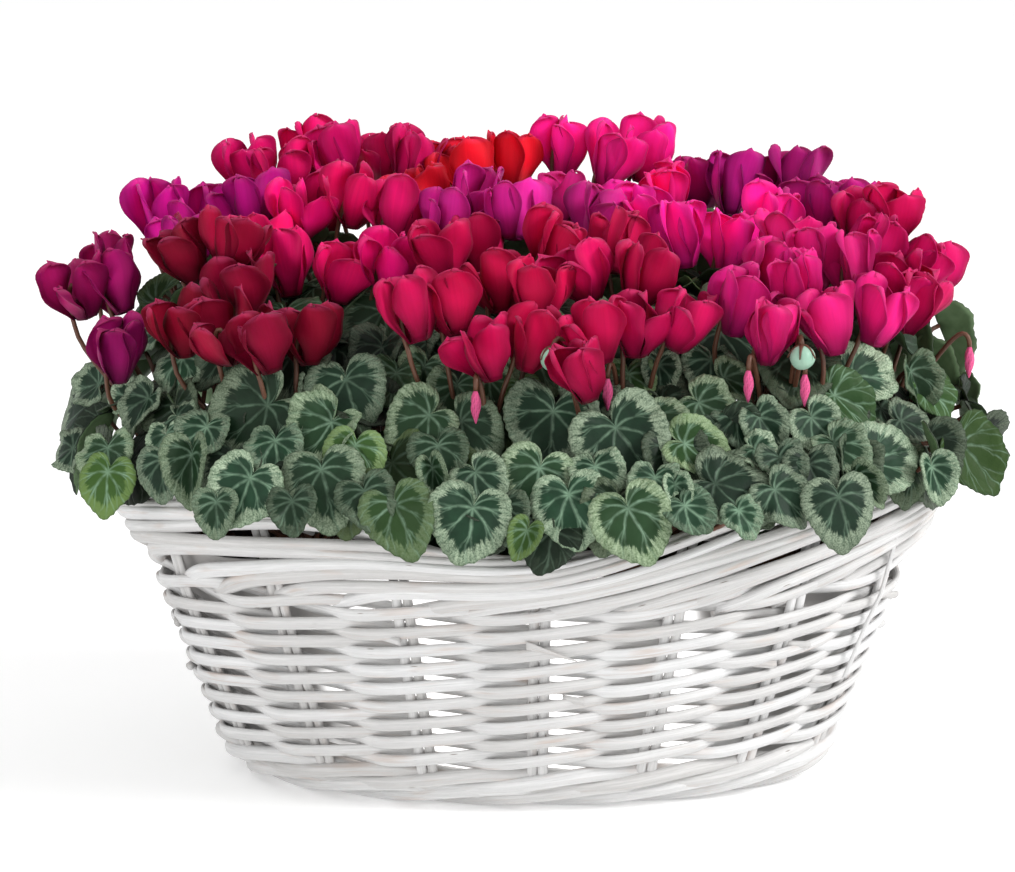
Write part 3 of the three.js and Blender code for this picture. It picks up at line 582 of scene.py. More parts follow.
def cyclamen_leaf():
    """A living leaf, leathery and marbled: dark green heart, pale veins and a feathered silver margin."""
    material, tree, shader = new_material("cyclamen_leaf", Roughness=0.55, IOR=1.28)
    place = add(tree, "SeparateXYZ", {0: add(tree, "Attribute", attribute_name="place").outputs["Vector"]})
    tint = add(tree, "SeparateXYZ", {0: add(tree, "Attribute", attribute_name="tint").outputs["Vector"]})
    x, y, share = place.outputs
    silver, yellow, seed = tint.outputs
    angle = add(tree, "Math", {0: x, 1: y}, operation="ARCTAN2")
    squares = add(tree, "Math", {0: x, 1: x}, operation="MULTIPLY")
    total = add(tree, "Math", {0: y, 1: y, 2: squares}, operation="MULTIPLY_ADD")
    reach = add(tree, "Math", {0: total}, operation="SQRT")
    # Streaks that run out from the stalk, a millimetre or two apart at the margin.
    fan = add(tree, "Math", {0: angle, 1: 11}, operation="MULTIPLY")
    outwards = add(tree, "Math", {0: share, 1: 2.2}, operation="MULTIPLY")
    offset = add(tree, "Math", {0: seed, 1: 37}, operation="MULTIPLY")
    streak_place = add(tree, "CombineXYZ", {0: fan, 1: outwards, 2: offset})
    streak = add(tree, "TexNoise", {"Vector": streak_place, "Scale": 1, "Detail": 3, "Roughness": 0.7})
    blot_place = add(tree, "CombineXYZ", {0: x, 1: y, 2: offset})
    # Patches of deeper and paler green, about 8 mm across.
    blot = add(tree, "TexNoise", {"Vector": blot_place, "Scale": 0.12, "Detail": 3})
    # The heart ends about seven tenths of the way out, further in where a streak runs.
    ragged = add(tree, "Math", {0: streak, 1: 0.42, 2: share}, operation="MULTIPLY_ADD")
    edge = add(tree, "Math", {0: blot, 1: 0.24, 2: ragged}, operation="MULTIPLY_ADD")
    margin = add(tree, "MapRange", {"Value": edge, "From Min": 1.0, "From Max": 1.1},
                 interpolation_type="SMOOTHSTEP")
    silvered = add(tree, "Math", {0: margin, 1: silver}, operation="MULTIPLY")
    # Palm veins every 41 degrees, which bend towards the tip and fork half way out.
    bent = add(tree, "Math", {0: share, 1: 0.35, 2: 0.8}, operation="MULTIPLY_ADD")
    curved = add(tree, "Math", {0: angle, 1: bent}, operation="MULTIPLY")
    wavy = add(tree, "Math", {0: blot, 1: 0.3, 2: curved}, operation="MULTIPLY_ADD")
    off_vein = add(tree, "Math", {0: wavy, 1: 0.36}, operation="PINGPONG")
    vein_gap = add(tree, "Math", {0: off_vein, 1: reach}, operation="MULTIPLY")
    vein = add(tree, "MapRange", {"Value": vein_gap, "From Min": 0.1, "From Max": 1.0,
                                  "To Min": 1, "To Max": 0})
    forked = add(tree, "Math", {0: share, 1: 0.5, 2: -0.2}, operation="MULTIPLY_ADD")
    off_fork = add(tree, "Math", {0: off_vein, 1: forked}, operation="SUBTRACT")
    fork_side = add(tree, "Math", {0: off_fork}, operation="ABSOLUTE")
    fork_gap = add(tree, "Math", {0: fork_side, 1: reach}, operation="MULTIPLY")
    fork = add(tree, "MapRange", {"Value": fork_gap, "From Min": 0.1, "From Max": 0.8,
                                  "To Min": 0.6, "To Max": 0})
    veins = add(tree, "Math", {0: vein, 1: fork}, operation="MAXIMUM")
    green = add(tree, "Mix", {0: blot, 6: colour("#0c2013"), 7: colour("#274a33")}, data_type="RGBA")
    heart = add(tree, "Mix", {0: yellow, 6: green, 7: colour("#34521d")}, data_type="RGBA")
    # Fine silver specks, under a millimetre, make up the pale margin.
    specks = add(tree, "TexNoise", {"Vector": blot_place, "Scale": 1.3, "Detail": 2})
    speckled = add(tree, "Math", {0: specks, 1: 0.9, 2: streak}, operation="MULTIPLY_ADD")
    bright = add(tree, "MapRange", {"Value": speckled, "From Min": 0.65, "From Max": 1.2})
    pale = add(tree, "Mix", {0: bright, 6: colour("#3c573e"), 7: colour("#bccfb1")}, data_type="RGBA")
    rind = add(tree, "Mix", {0: yellow, 6: pale, 7: colour("#708a4c")}, data_type="RGBA")
    marbled = add(tree, "Mix", {0: silvered, 6: heart, 7: rind}, data_type="RGBA")
    # The veins fade in the margin and where the leaf is darkest.
    faint = add(tree, "Math", {0: silvered, 1: -0.6, 2: 0.9}, operation="MULTIPLY_ADD")
    patchy = add(tree, "MapRange", {"Value": blot, "From Min": 0.35, "From Max": 0.65,
                                    "To Min": 0.15, "To Max": 0.85})
    shown = add(tree, "Math", {0: faint, 1: patchy}, operation="MULTIPLY")
    drawn = add(tree, "Math", {0: veins, 1: shown}, operation="MULTIPLY")
    veined = add(tree, "Mix", {0: drawn, 6: marbled, 7: colour("#8cad91")}, data_type="RGBA")
    # A thin darker line follows the toothed rim.
    rim = add(tree, "MapRange", {"Value": share, "From Min": 0.965, "From Max": 1, "To Max": 0.4})
    lined = add(tree, "Mix", {0: rim, 6: veined, 7: colour("#3a4f33")}, data_type="RGBA")
    # Leaves differ in depth of colour at random, as with age; those deep inside the mound are painted darker,
    # a painted shade.
    age_and_depth_shade = add(tree, "MapRange", {"Value": seed, "To Min": 0.12, "To Max": 1.06})
    aged_and_shaded = add(tree, "Mix", {0: 1, 6: lined, 7: age_and_depth_shade}, data_type="RGBA", blend_type="MULTIPLY")
    tree.links.new(aged_and_shaded.outputs[2], shader.inputs["Base Color"])
    sunk = add(tree, "Math", {0: veins, 1: -1}, operation="MULTIPLY")
    quilted = add(tree, "Math", {0: blot, 1: 2, 2: sunk}, operation="MULTIPLY_ADD")
    relief = add(tree, "Bump", {"Height": quilted, "Strength": 0.6, "Distance": 0.0006})
    tree.links.new(relief.outputs[0], shader.inputs["Normal"])
    return material


def leaf_back():
    """The back of a leaf: plain dull green, a little yellow, in soft patches about 7 mm across."""
    material, tree, shader = new_material("cyclamen_leaf_back", Roughness=0.6, IOR=1.4)
    place = add(tree, "Attribute", attribute_name="place").outputs["Vector"]
    shade = add(tree, "TexNoise", {"Vector": place, "Scale": 0.15, "Detail": 2})
    green = add(tree, "Mix", {0: shade, 6: colour("#3a5230"), 7: colour("#66805a")}, data_type="RGBA")
    tree.links.new(green.outputs[2], shader.inputs["Base Color"])
    return material


def cyclamen_petal():
    """A living petal, velvety: saturated, darker towards the mouth, faintly streaked, with painted highlight
    and side shade.
    """
    material, tree, shader = new_material("cyclamen_petal", Roughness=0.55, IOR=1.16, Sheen_Weight=0.03,
                                          Sheen_Roughness=0.4, Subsurface_Weight=0.25, Subsurface_Scale=0.002)
    place = add(tree, "Attribute", attribute_name="place").outputs["Vector"]
    tint = add(tree, "Attribute", attribute_name="tint").outputs["Vector"]
    across, along, _ = add(tree, "SeparateXYZ", {0: place}).outputs
    # Streaks about 1.5 mm apart over a petal 20 mm wide.
    lengthwise = add(tree, "VectorMath", {0: place, 1: (7, 0.9, 13)}, operation="MULTIPLY")
    streak = add(tree, "TexNoise", {"Vector": lengthwise, "Scale": 1, "Detail": 3})
    shade = add(tree, "MapRange", {"Value": streak, "From Min": 0.3, "From Max": 0.7,
                                   "To Min": 0.92, "To Max": 1.04})
    streaked = add(tree, "VectorMath", {0: tint, 1: shade}, operation="MULTIPLY")
    deep = add(tree, "MapRange", {"Value": along, "From Min": 0.02, "From Max": 0.6,
                                  "To Min": 0.38, "To Max": 1}, interpolation_type="SMOOTHSTEP")
    darkened = add(tree, "VectorMath", {0: streaked, 1: deep}, operation="MULTIPLY")
    side = add(tree, "Math", {0: across}, operation="ABSOLUTE")
    # A painted highlight runs down the middle, and painted shade darkens the sides; the tip has a pale hem.
    painted_highlight_and_shade = add(tree, "MapRange", {"Value": side, "From Min": 0.15, "From Max": 1,
                                 "To Min": 1.2, "To Max": 0.6}, interpolation_type="SMOOTHSTEP")
    highlighted_and_shaded = add(tree, "VectorMath", {0: darkened, 1: painted_highlight_and_shade}, operation="MULTIPLY")
    hem = add(tree, "MapRange", {"Value": along, "From Min": 0.9, "From Max": 1, "To Max": 0.22})
    edged = add(tree, "Mix", {0: hem, 6: highlighted_and_shaded, 7: colour("#e2588f")}, data_type="RGBA")
    tree.links.new(edged.outputs[2], shader.inputs["Base Color"])
    relief = add(tree, "Bump", {"Height": streak, "Strength": 0.15, "Distance": 0.0006})
    tree.links.new(relief.outputs[0], shader.inputs["Normal"])
    shader.inputs["Subsurface Radius"].default_value = (1, 0.25, 0.35)
    return material


def juicy_stem():
    """A fleshy living stalk: reddish brown, paler in patches along it, with a soft gloss."""
    material, tree, shader = new_material("cyclamen_stem", Roughness=0.42, IOR=1.4)
    place = add(tree, "Attribute", attribute_name="place").outputs["Vector"]
    drift = add(tree, "VectorMath", {0: place, 1: (0.03, 0.2, 9)}, operation="MULTIPLY")
    shade = add(tree, "TexNoise", {"Vector": drift, "Scale": 1, "Detail": 2})
    brown = add(tree, "Mix", {0: shade, 6: colour("#3b1a15"), 7: colour("#73503b")}, data_type="RGBA")
    tree.links.new(brown.outputs[2], shader.inputs["Base Color"])
    return material


def corky_tuber():
    """The corky skin of a tuber: brown, dry and cracked into plates about 3 mm across."""
    material, tree, shader = new_material("corky_tuber", Roughness=0.9)
    where = add(tree, "TexCoord").outputs["Object"]
    plates = add(tree, "TexVoronoi", {"Vector": where, "Scale": 350})
    brown = add(tree, "Mix", {0: plates.outputs["Distance"], 6: colour("#6d4a35"), 7: colour("#3a261b")},
                data_type="RGBA")
    tree.links.new(brown.outputs[2], shader.inputs["Base Color"])
    return material


def seed_pod():
    """The skin of an unripe pod: pale green and waxy, in patches about 6 mm across."""
    material, tree, shader = new_material("green_seed_pod", Roughness=0.5)
    where = add(tree, "TexCoord").outputs["Object"]
    shade = add(tree, "TexNoise", {"Vector": where, "Scale": 160, "Detail": 2})
    green = add(tree, "Mix", {0: shade, 6: colour("#6f9a86"), 7: colour("#a9c9b4")}, data_type="RGBA")
    tree.links.new(green.outputs[2], shader.inputs["Base Color"])
    return material


def pale_floor():
    """Matt white card, the studio's floor: almost white, with the faintest mottle."""
    material, tree, shader = new_material("matt_white_board", Roughness=0.9, Emission_Strength=0.24)
    shader.inputs["Emission Color"].default_value = colour("#ffffff")
    where = add(tree, "TexCoord").outputs["Object"]
    shade = add(tree, "TexNoise", {"Vector": where, "Scale": 3, "Detail": 2})
    white = add(tree, "Mix", {0: shade, 6: colour("#f6f6f6"), 7: colour("#fbfbfb")}, data_type="RGBA")
    tree.links.new(white.outputs[2], shader.inputs["Base Color"])
    return material


WILLOW = painted_willow()
STEM = juicy_stem()
LEAF = cyclamen_leaf()
LEAF_BACK = leaf_back()
PETAL = cyclamen_petal()
TUBER_SKIN = corky_tuber()

# ---------------------------------------------------------------- basket


def wave_over_stakes(stakes):
    """How a woven rod swings out and in past the stakes: nearly straight on them, slanting in between."""
    return np.sin(math.pi / 2 * np.cos(math.pi * stakes))


def woven_wall():
    """The wall: two strands wound up it together, each of rods laid end to end.

    At each stake one strand passes outside and the other inside. In between they cross, and the one that
    comes out lies below.
    """
    heap = Heap()
    draw = draws_from(613)
    reach = STAKE_HALF_DEPTH + ROD_HALF_DEPTH
    total = ROW_FIRST_STAKE + STAKE_PAIRS * ROW_TURNS
    for strand in range(2):
        # A rod begins and ends where its strand passes inside a stake, so that no cut end shows.
        start = ROW_FIRST_STAKE + strand
        while start < total:
            end = min(start + round(draw(*ROD_REACH)) * 2, total + strand)
            stakes = np.arange(start - ROD_LAP, end + ROD_LAP, 1 / 14)
            seed = draw(0, 60)
            taper = np.linspace(1.04, 0.96, len(stakes)) * draw(0.96, 1.05)
            # Both strands sway alike, so that neither runs into the other.
            sway = np.array([noise.noise(Vector((stake * 0.45, 7, 0))) for stake in stakes])
            height = ROW_START + ROW_PITCH * stakes / STAKE_PAIRS + ROW_SWAY * sway
            height = height + ROW_PITCH / 4 * np.sin(math.pi * (stakes + strand))
            offset = wave_over_stakes(stakes + strand) * reach - ROD_INSET
            middles, outward, upward = wall_places(stakes, height, offset)
            add_tube(heap, middles, outward, upward, ROD_HALF_DEPTH * taper, ROD_HALF_HEIGHT * taper, seed,
                     draw(0.2, 1))
            start = end
    heap.make("woven_wall", WILLOW, "painted_willow", "weaver")


def add_stakes(heap, draw):
    """The upright rods, two side by side at each place."""
    height = np.linspace(STAKE_FOOT, STAKE_TOP, 26)
    for stake in range(STAKE_PAIRS):
        for side in (-1, 1):
            middles, outward, upward = wall_places(stake, height, draw(-0.4, 0.4) + 0 * height)
            across = np.cross(upward, outward)
            middles = middles + across * side * (STAKE_RADIUS + draw(0, 0.3))
            add_tube(heap, middles, across, outward, STAKE_RADIUS, STAKE_HALF_DEPTH, draw(0, 60),
                     draw(0.1, 0.7))


def add_border(heap, draw):
    """The rods laid down along the rim, two for each pair of stakes.

    Each starts low and inside, comes out beside a stake, climbs past three more and ends inside.
    """
    passed, offsets, heights = BORDER_COURSE.T
    steps = np.arange(passed[0], passed[-1], 0.07)
    smooth = np.hanning(9) / np.hanning(9).sum()
    course = [np.convolve(np.pad(np.interp(steps, passed, values), 4, "edge"), smooth, "valid")
              for values in (offsets, heights)]
    for rod in range(2 * STAKE_PAIRS):
        size = BORDER_HALF * draw(0.86, 1.06) * np.interp(steps, *BORDER_TAPER.T)
        rise = rim_rise(wall_places(rod / 2 + steps, BORDER_LEVEL, 0)[0][:, 0])
        size = size * (1 + BORDER_SWELL * rise / RIM_RISE)
        stakes = rod / 2 + draw(-0.08, 0.08) + steps
        sway = BORDER_SWAY * np.sin(steps * 1.9 + draw(0, 6))
        middles, outward, upward = wall_places(stakes, course[1] + sway, course[0] + draw(-0.9, 0.5))
        add_tube(heap, middles, outward, upward, size * 0.95, size, draw(0, 60), draw(0.2, 1), sides=12)


def add_foot(heap, draw):
    """The foot: rows of three strands laid like a rope, which slant up to the right and meet at the back."""
    shift = draw(0, FOOT_STRANDS)
    stakes = np.arange(STAKE_PAIRS / 2, STAKE_PAIRS * 1.5 + 0.3, 0.08)
    for height in FOOT_ROWS:
        for strand in range(FOOT_STRANDS):
            turn = 2 * math.pi * (stakes + strand + shift) / FOOT_STRANDS
            offset = FOOT_SWING * np.cos(turn) - FOOT_INSET
            middles, outward, _ = wall_places(stakes, height + FOOT_RISE * np.sin(turn), offset)
            upright = np.broadcast_to([0.0, 0, 1], middles.shape)
            size = FOOT_HALF * draw(0.94, 1)
            add_tube(heap, middles, outward, upright, size, size, draw(0, 60), draw(0.2, 0.9), sides=12)


def add_floor(heap, draw):
    """The woven floor: a spiral of rod over and under the ribs, round a straight spine."""
    turns = (FLOOR_LAST_HALF_WIDTH - FLOOR_FIRST_HALF_WIDTH) / FLOOR_PITCH
    share = np.arange(0, turns, 1 / 90)
    half_width = FLOOR_FIRST_HALF_WIDTH + FLOOR_PITCH * share
    angles = oval_angles(1.6, 1, share)
    height = FLOOR_HEIGHT + FLOOR_SWING * wave_over_stakes(share * STAKE_PAIRS)
    middles = np.stack([(FLOOR_SPINE + half_width) * np.cos(angles), half_width * np.sin(angles), height], -1)
    tangent = unit(np.gradient(middles, axis=0))
    up = np.broadcast_to([0.0, 0, 1], middles.shape)
    add_tube(heap, middles, unit(np.cross(tangent, up)), up, FLOOR_ROD_HALF_WIDTH, FLOOR_ROD_HALF_HEIGHT,
             draw(0, 60), 0.4, sides=8)
    for stake in range(STAKE_PAIRS):
        foot = wall_places(stake, RIB_END, 0)[0]
        inner = np.array([FLOOR_SPINE * foot[0] / (FLOOR_SPINE + FLOOR_LAST_HALF_WIDTH), 0, FLOOR_HEIGHT])
        outer = np.array([foot[0], foot[1], FLOOR_HEIGHT + RIB_RISE])
        rib = inner + (outer - inner) * np.linspace(0, 1, 12)[:, None]
        add_stalk(heap, rib, RIB_RADIUS, draw(0, 60), sides=8)


def add_flaws(heap, draw):
    """Small marks of hand work: cut ends that stand out, a lifted splinter and a loose thin strand."""
    for _ in range(CUT_ENDS):
        stake = draw(0, STAKE_PAIRS)
        height = draw(*CUT_END_HEIGHTS)
        steps = np.linspace(0, 0.16, 6)
        middles, outward, upward = wall_places(stake + steps, height - 6 * steps, np.linspace(1, 5.6, 6))
        add_tube(heap, middles, outward, upward, 1.9, 2.3, draw(0, 60), draw(0, 0.5), sides=8)
    splinter = wall_places(np.linspace(*SPLINTER_STAKES, 10), np.linspace(*SPLINTER_HEIGHTS, 10),
                           np.linspace(6.4, 8.6, 10))
    add_tube(heap, *splinter, 0.6, np.linspace(2.4, 0.4, 10), seed=3, tone=0.1, sides=8)
    middles, outward, upward = wall_places(STRAND_STAKE + 0.03 * np.sin(np.linspace(0, 5, 24)),
                                           np.linspace(*STRAND_HEIGHTS, 24),
                                           8.6 + 0.5 * np.sin(np.linspace(0, 9, 24)))
    add_tube(heap, middles, outward, np.cross(upward, outward), 1.1, 1.4, seed=9, tone=0.8, sides=8)


def basket_frame():
    """Everything of willow apart from the wall's rods."""
    heap = Heap()
    draw = draws_from(271)
    add_stakes(heap, draw)
    add_border(heap, draw)
    add_foot(heap, draw)
    add_floor(heap, draw)
    add_flaws(heap, draw)
    heap.make("stakes_border_and_foot", WILLOW, "painted_willow", "basket_frame")


def film_liner():
    """The film liner: it follows the wall inside the rods, with small creases and an uneven top edge."""
    columns = 150
    rows = 26
    angles = np.linspace(0, 2 * math.pi, columns, endpoint=False)
    round_oval = [(9 * math.cos(angle), 9 * math.sin(angle)) for angle in angles]
    rings = []
    for height in np.linspace(LINER_BOTTOM, LINER_TOP, rows):
        crease = np.array([noise.noise(Vector((*spot, height * 0.02))) for spot in round_oval])
        inset = wall_inset(max(height, STRAIGHT_FROM))
        offset = LINER_OFFSET - LINER_GAP - CREASE_DEPTH * np.abs(crease)
        lift = 2 * crease if height > LINER_TOP - 1 else 0
        rings.append(oval_points(RIM_HALF_LENGTH - inset, RIM_HALF_WIDTH - inset, angles, offset,
                                 height + lift)[0])
    centre = np.array([[0, 0, LINER_BOTTOM - 0.5]])
    bottom = [[k, (k + 1) % columns, columns * rows] for k in range(columns)]
    heap = Heap()
    heap.add(np.concatenate([*rings, centre]), [grid_faces(rows, columns, closed=True), bottom])
    thicken(heap.make("film_liner", white_film(), "liner", "liner"), FILM_THICKNESS)


def peat_bed():
    """The peat: a full bed with a rough, crumbly top."""
    angles = np.linspace(0, 2 * math.pi, 120, endpoint=False)
    levels = [(height, 1.0) for height in (PEAT_BOTTOM, 40, 80, 110, PEAT_TOP - 2)]
    levels += [(PEAT_TOP, share) for share in np.linspace(0.985, 0.02, 34)]
    rings = []
    for height, share in levels:
        inset = wall_inset(max(height, STRAIGHT_FROM)) - LINER_OFFSET + PEAT_INSET
        ring = oval_points((RIM_HALF_LENGTH - inset) * share, (RIM_HALF_WIDTH - inset) * share, angles, 0,
                           height)[0]
        if share < 1:
            for point in ring:
                humps = PEAT_HUMPS * noise.noise(Vector(point) * 0.05)
                crumbs = PEAT_CRUMBS * noise.noise(Vector(point) * 0.28)
                point[2] += humps + crumbs - 1
        rings.append(ring)
    heap = Heap()
    heap.add_stack(rings)
    heap.make("peat_bed", moist_peat(), "peat", "peat")


# ---------------------------------------------------------------- foliage

BLADE_SIDES = 60
BLADE_RINGS = 6
# Half a blade's outline: degrees from the tip, round its stalk, and reach in leaf lengths.
HALF_OUTLINE = np.array([
    (0, 0.75), (10, 0.69), (30, 0.605), (60, 0.54), (90, 0.51),
    (118, 0.475), (140, 0.4), (158, 0.29), (170, 0.16), (180, 0.05),
])


def mound_inset(x, y):
    """How far inside the foliage's edge a place lies along both half axes, found by halving a range."""
    low, high = -60.0, 165.0
    for _ in range(22):
        inset = (low + high) / 2
        outside = (x / (FOLIAGE_HALF_LENGTH - inset)) ** 2 + (y / (FOLIAGE_HALF_WIDTH - inset)) ** 2 > 1
        low, high = (low, inset) if outside else (inset, high)
    return inset


def mound_height(x, y):
    """How high the mound of leaves stands at a place, with a skirt below its rings and a flat top."""
    inset = mound_inset(x, y)
    rings = np.array([*SKIRT_RINGS, *LEAF_RINGS, TOP_RING])
    height, end_rise, follow = (np.interp(inset, rings[:, 0], rings[:, k]) for k in (1, 3, 4))
    return height + ring_rise(x, x / (FOLIAGE_HALF_LENGTH - inset), end_rise, follow)


def ring_rise(x, cosine, end_rise, follow):
    """How much higher a ring of leaves stands here than over the middle of its long sides."""
    return end_rise * cosine**2 + follow * rim_rise(x) * (1 - min(cosine**2, 1))


def place_in_photo(pixel_x, pixel_y):
    """Where the line of sight through a pixel meets the mound of leaves, and millimetres per pixel there."""
    sight = (CAMERA_FORWARD + CAMERA_SIDE * (pixel_x - PHOTO_WIDTH / 2) / PIXELS_PER_SLOPE
             - CAMERA_UP * (pixel_y - PHOTO_HEIGHT / 2) / PIXELS_PER_SLOPE)
    best = None
    for far in CAMERA_DISTANCE + np.arange(*SIGHT_SEARCH):
        point = CAMERA_PLACE + sight * far
        above = point[2] - mound_height(point[0], point[1])
        if best is None or above < best[0]:
            best = (above, point, far / PIXELS_PER_SLOPE)
        if above < 0:
            break
    return best[1], best[2]


def add_blade(heap, leaf):
    """One blade: heart-shaped, domed or folded, and waved along its finely toothed edge.

    It returns the place where the stalk joins.
    """
    length = leaf["length"]
    normal = leaf["normal"]
    along = leaf["along"]
    seed = leaf["seed"]
    across = np.cross(along, normal)
    foot = leaf["middle"] - along * 0.25 * length
    degrees = np.linspace(-180, 180, BLADE_SIDES, endpoint=False)
    turn = np.radians(degrees)[None, :]
    outline = np.interp(np.abs(degrees), HALF_OUTLINE[:, 0], HALF_OUTLINE[:, 1])
    teeth = 1 + 0.014 * np.where(np.arange(BLADE_SIDES) % 2, 1, -1) + 0.03 * np.sin(3 * turn[0] + seed * 5)
    share = np.linspace(0, 1, BLADE_RINGS + 1)[1:, None] ** 0.85
    reach = (outline * teeth)[None, :] * share * length
    x = reach * np.sin(turn)
    y = reach * np.cos(turn)
    lift = -leaf["dome"] * reach**2 / length + leaf["fold"] * (np.sqrt(x * x + 4) - 2)
    lift += (leaf["wave"] * share**2 * np.sin(4 * turn + seed * 11)
             + 0.5 * leaf["wave"] * share**3 * np.sin(9 * turn + seed))
    # A folded blade is narrower, because its halves keep their width.
    shrink = 1 / math.sqrt(1 + leaf["fold"] ** 2)
    corners = (foot + (x * shrink)[..., None] * across + y[..., None] * along
               + (lift * shrink)[..., None] * normal)
    corners = np.concatenate([[foot], corners.reshape(-1, 3)])
    place = np.stack([x, y, np.broadcast_to(share, x.shape)], -1).reshape(-1, 3)
    place = np.concatenate([[(0, 0, 0)], place])
    heart = np.array([[1 + (k + 1) % BLADE_SIDES, 1 + k, 0] for k in range(BLADE_SIDES)])
    quads = grid_faces(BLADE_RINGS, BLADE_SIDES, closed=True) + 1
    heap.add(corners, [heart, quads], place, (leaf["silver"], leaf["yellow"], seed))
    return foot


def leaf_at(middle, outward, tilt, turn, length, seed, draw, fold=None, silver=None, yellow=None):
    """A leaf's place and looks. Those that aren't given are drawn.

    The blade leans out by its tilt, and its tip is turned from straight down the mound.
    """
    outward = unit([outward[0], outward[1], 0])
    normal = outward * math.sin(tilt) + np.array([0, 0, math.cos(tilt)])
    down = outward * math.cos(tilt) - np.array([0, 0, math.sin(tilt)])
    along = down * math.cos(turn) + np.cross(normal, down) * math.sin(turn)
    # One leaf in eight is yellowish, and another one in eight has hardly any silver.
    kind = draw(0, 1)
    return {
        "middle": np.asarray(middle, float), "normal": normal, "along": along, "length": length, "seed": seed,
        "dome": draw(-0.2, 0.5), "wave": draw(0.8, 2.8),
        "fold": 1.3 * draw(0, 1) ** 2 if fold is None else fold,
        "silver": (draw(0.6, 1) if kind < 0.88 else 0.1) if silver is None else silver,
        "yellow": (draw(0, 0.3) if kind > 0.12 else 0.8) if yellow is None else yellow,
    }


def front_leaves(draw):
    """The leaves that the photograph shows, each on the mound where its line of sight meets it."""
    leaves = []
    for pixel_x, pixel_y, long, turn, tilt, fold, silver, yellow in FRONT_LEAVES:
        point, scale = place_in_photo(pixel_x, pixel_y)
        outward = unit([point[0] / FOLIAGE_HALF_LENGTH**2, point[1] / FOLIAGE_HALF_WIDTH**2, 0])
        # They face partly outwards and partly to the front.
        facing = outward * 0.55 + np.array([0, -0.45, 0])
        # Their seeds, which also set how dark a leaf is painted, leave out the darkest, so the front is
        # painted lighter.
        leaves.append(leaf_at(point, facing, math.radians(tilt), math.radians(turn), long * scale,
                              draw(0.35, 1), draw, fold, silver, yellow))
    return leaves


def ring_leaves(rings, taken, seed, spacing, sink, size, room):
    """Leaves in rings over the whole mound, left out where another leaf stands within the room they need.

    Leaves that sink fill the mound from inside: they lie more at random, and rise towards the back.
    """
    draw = draws_from(seed)
    detail = draws_from(seed + 4)
    leaves = []
    for inset, height, tilt, end_rise, follow in rings:
        half_length, half_width = FOLIAGE_HALF_LENGTH - inset, FOLIAGE_HALF_WIDTH - inset
        count = round(math.pi * (half_length + half_width) / spacing)
        start = draw(0, 1)
        for k in range(count):
            share = (start + (k + draw(-0.1, 0.1)) / count) % 1
            length = draw(*LEAF_SIZE) * size
            lean = math.radians(tilt + draw(-7, 7))
            turn = draw(-0.3, 0.3)
            angle = oval_angles(half_length, half_width, share)
            zigzag = RING_ZIGZAG if k % 2 else -RING_ZIGZAG
            point, normal = oval_points(half_length, half_width, angle, zigzag, 0)
            point[2] = height + ring_rise(point[0], math.cos(angle), end_rise, follow) + draw(-3, 3) - sink
            point = point - normal * sink * 0.7
            if sink:
                back = min(max((point[1] - BACK_RISE_START) / BACK_RISE_DEPTH, 0), 1)
                point[2] += BACK_RISE * back * detail(0.6, 1)
                turn *= 4
                lean += detail(-0.3, 0.3)
                length *= detail(0.75, 1.1)
            if all(np.linalg.norm(point - other["middle"]) > room for other in taken):
                # The leaves that lie deeper are painted darker, a painted shade inside the mound.
                age_and_depth_shade = detail(0, 0.32 if sink else 1)
                turn += detail(-0.5, 0.5)
                leaves.append(leaf_at(point, normal, lean, turn, length * LEAF_STRETCH, age_and_depth_shade, detail))
    return leaves


def away_from(root, place):
    """The all but level direction from a plant's root towards a place."""
    return unit([place[0] - root[0], place[1] - root[1], 0.01])


def add_leaf_stalk(heap, foot, leaf, root, seed):
    """A leaf's stalk: out of the tuber's shoulder, up through the foliage and in to the blade from behind."""
    out = away_from(root, foot)
    start = np.array([*root, STALK_ROOT]) + out * 10
    behind = foot - leaf["normal"] * 12 - leaf["along"] * 4
    joint = foot - leaf["normal"] * 0.3
    course = bend([start, start + out * 3 + [0, 0, 18], behind - [0, 0, 14], behind, joint], 12)
    add_stalk(heap, course, STALK_RADIUS, seed, sides=6)


def nearest_plant(point):
    """The name of the plant that is rooted nearest to a point."""
    return min(PLANTS, key=lambda name: math.dist(PLANTS[name][0], point[:2]))


def grow_foliage():
    """The tubers, and all leaves, each on its nearest plant: blades in one piece and stalks in another."""
    draw = draws_from(4409)
    front = front_leaves(draw)
    outer = ring_leaves(LEAF_RINGS, front, 7919, spacing=44, sink=0, size=1, room=20)
    inner = ring_leaves(FILL_RINGS, front + outer, 5003, spacing=32, sink=9, size=0.95, room=12)
    for name, (root, *_) in PLANTS.items():
        blades, stalks = Heap(), Heap()
        for leaf in front + outer + inner:
            if nearest_plant(leaf["middle"]) == name:
                foot = add_blade(blades, leaf)
                add_leaf_stalk(stalks, foot, leaf, root, leaf["seed"] * 50)
        if blades.count:
            piece = blades.make(f"{name}_leaf_blades", LEAF, "leaves", f"{name}_leaves")
            thicken(piece, LEAF_THICKNESS, LEAF_BACK)
            stalks.make(f"{name}_leaf_stalks", STEM, "leaves", f"{name}_leaves")
        tuber(name, root)


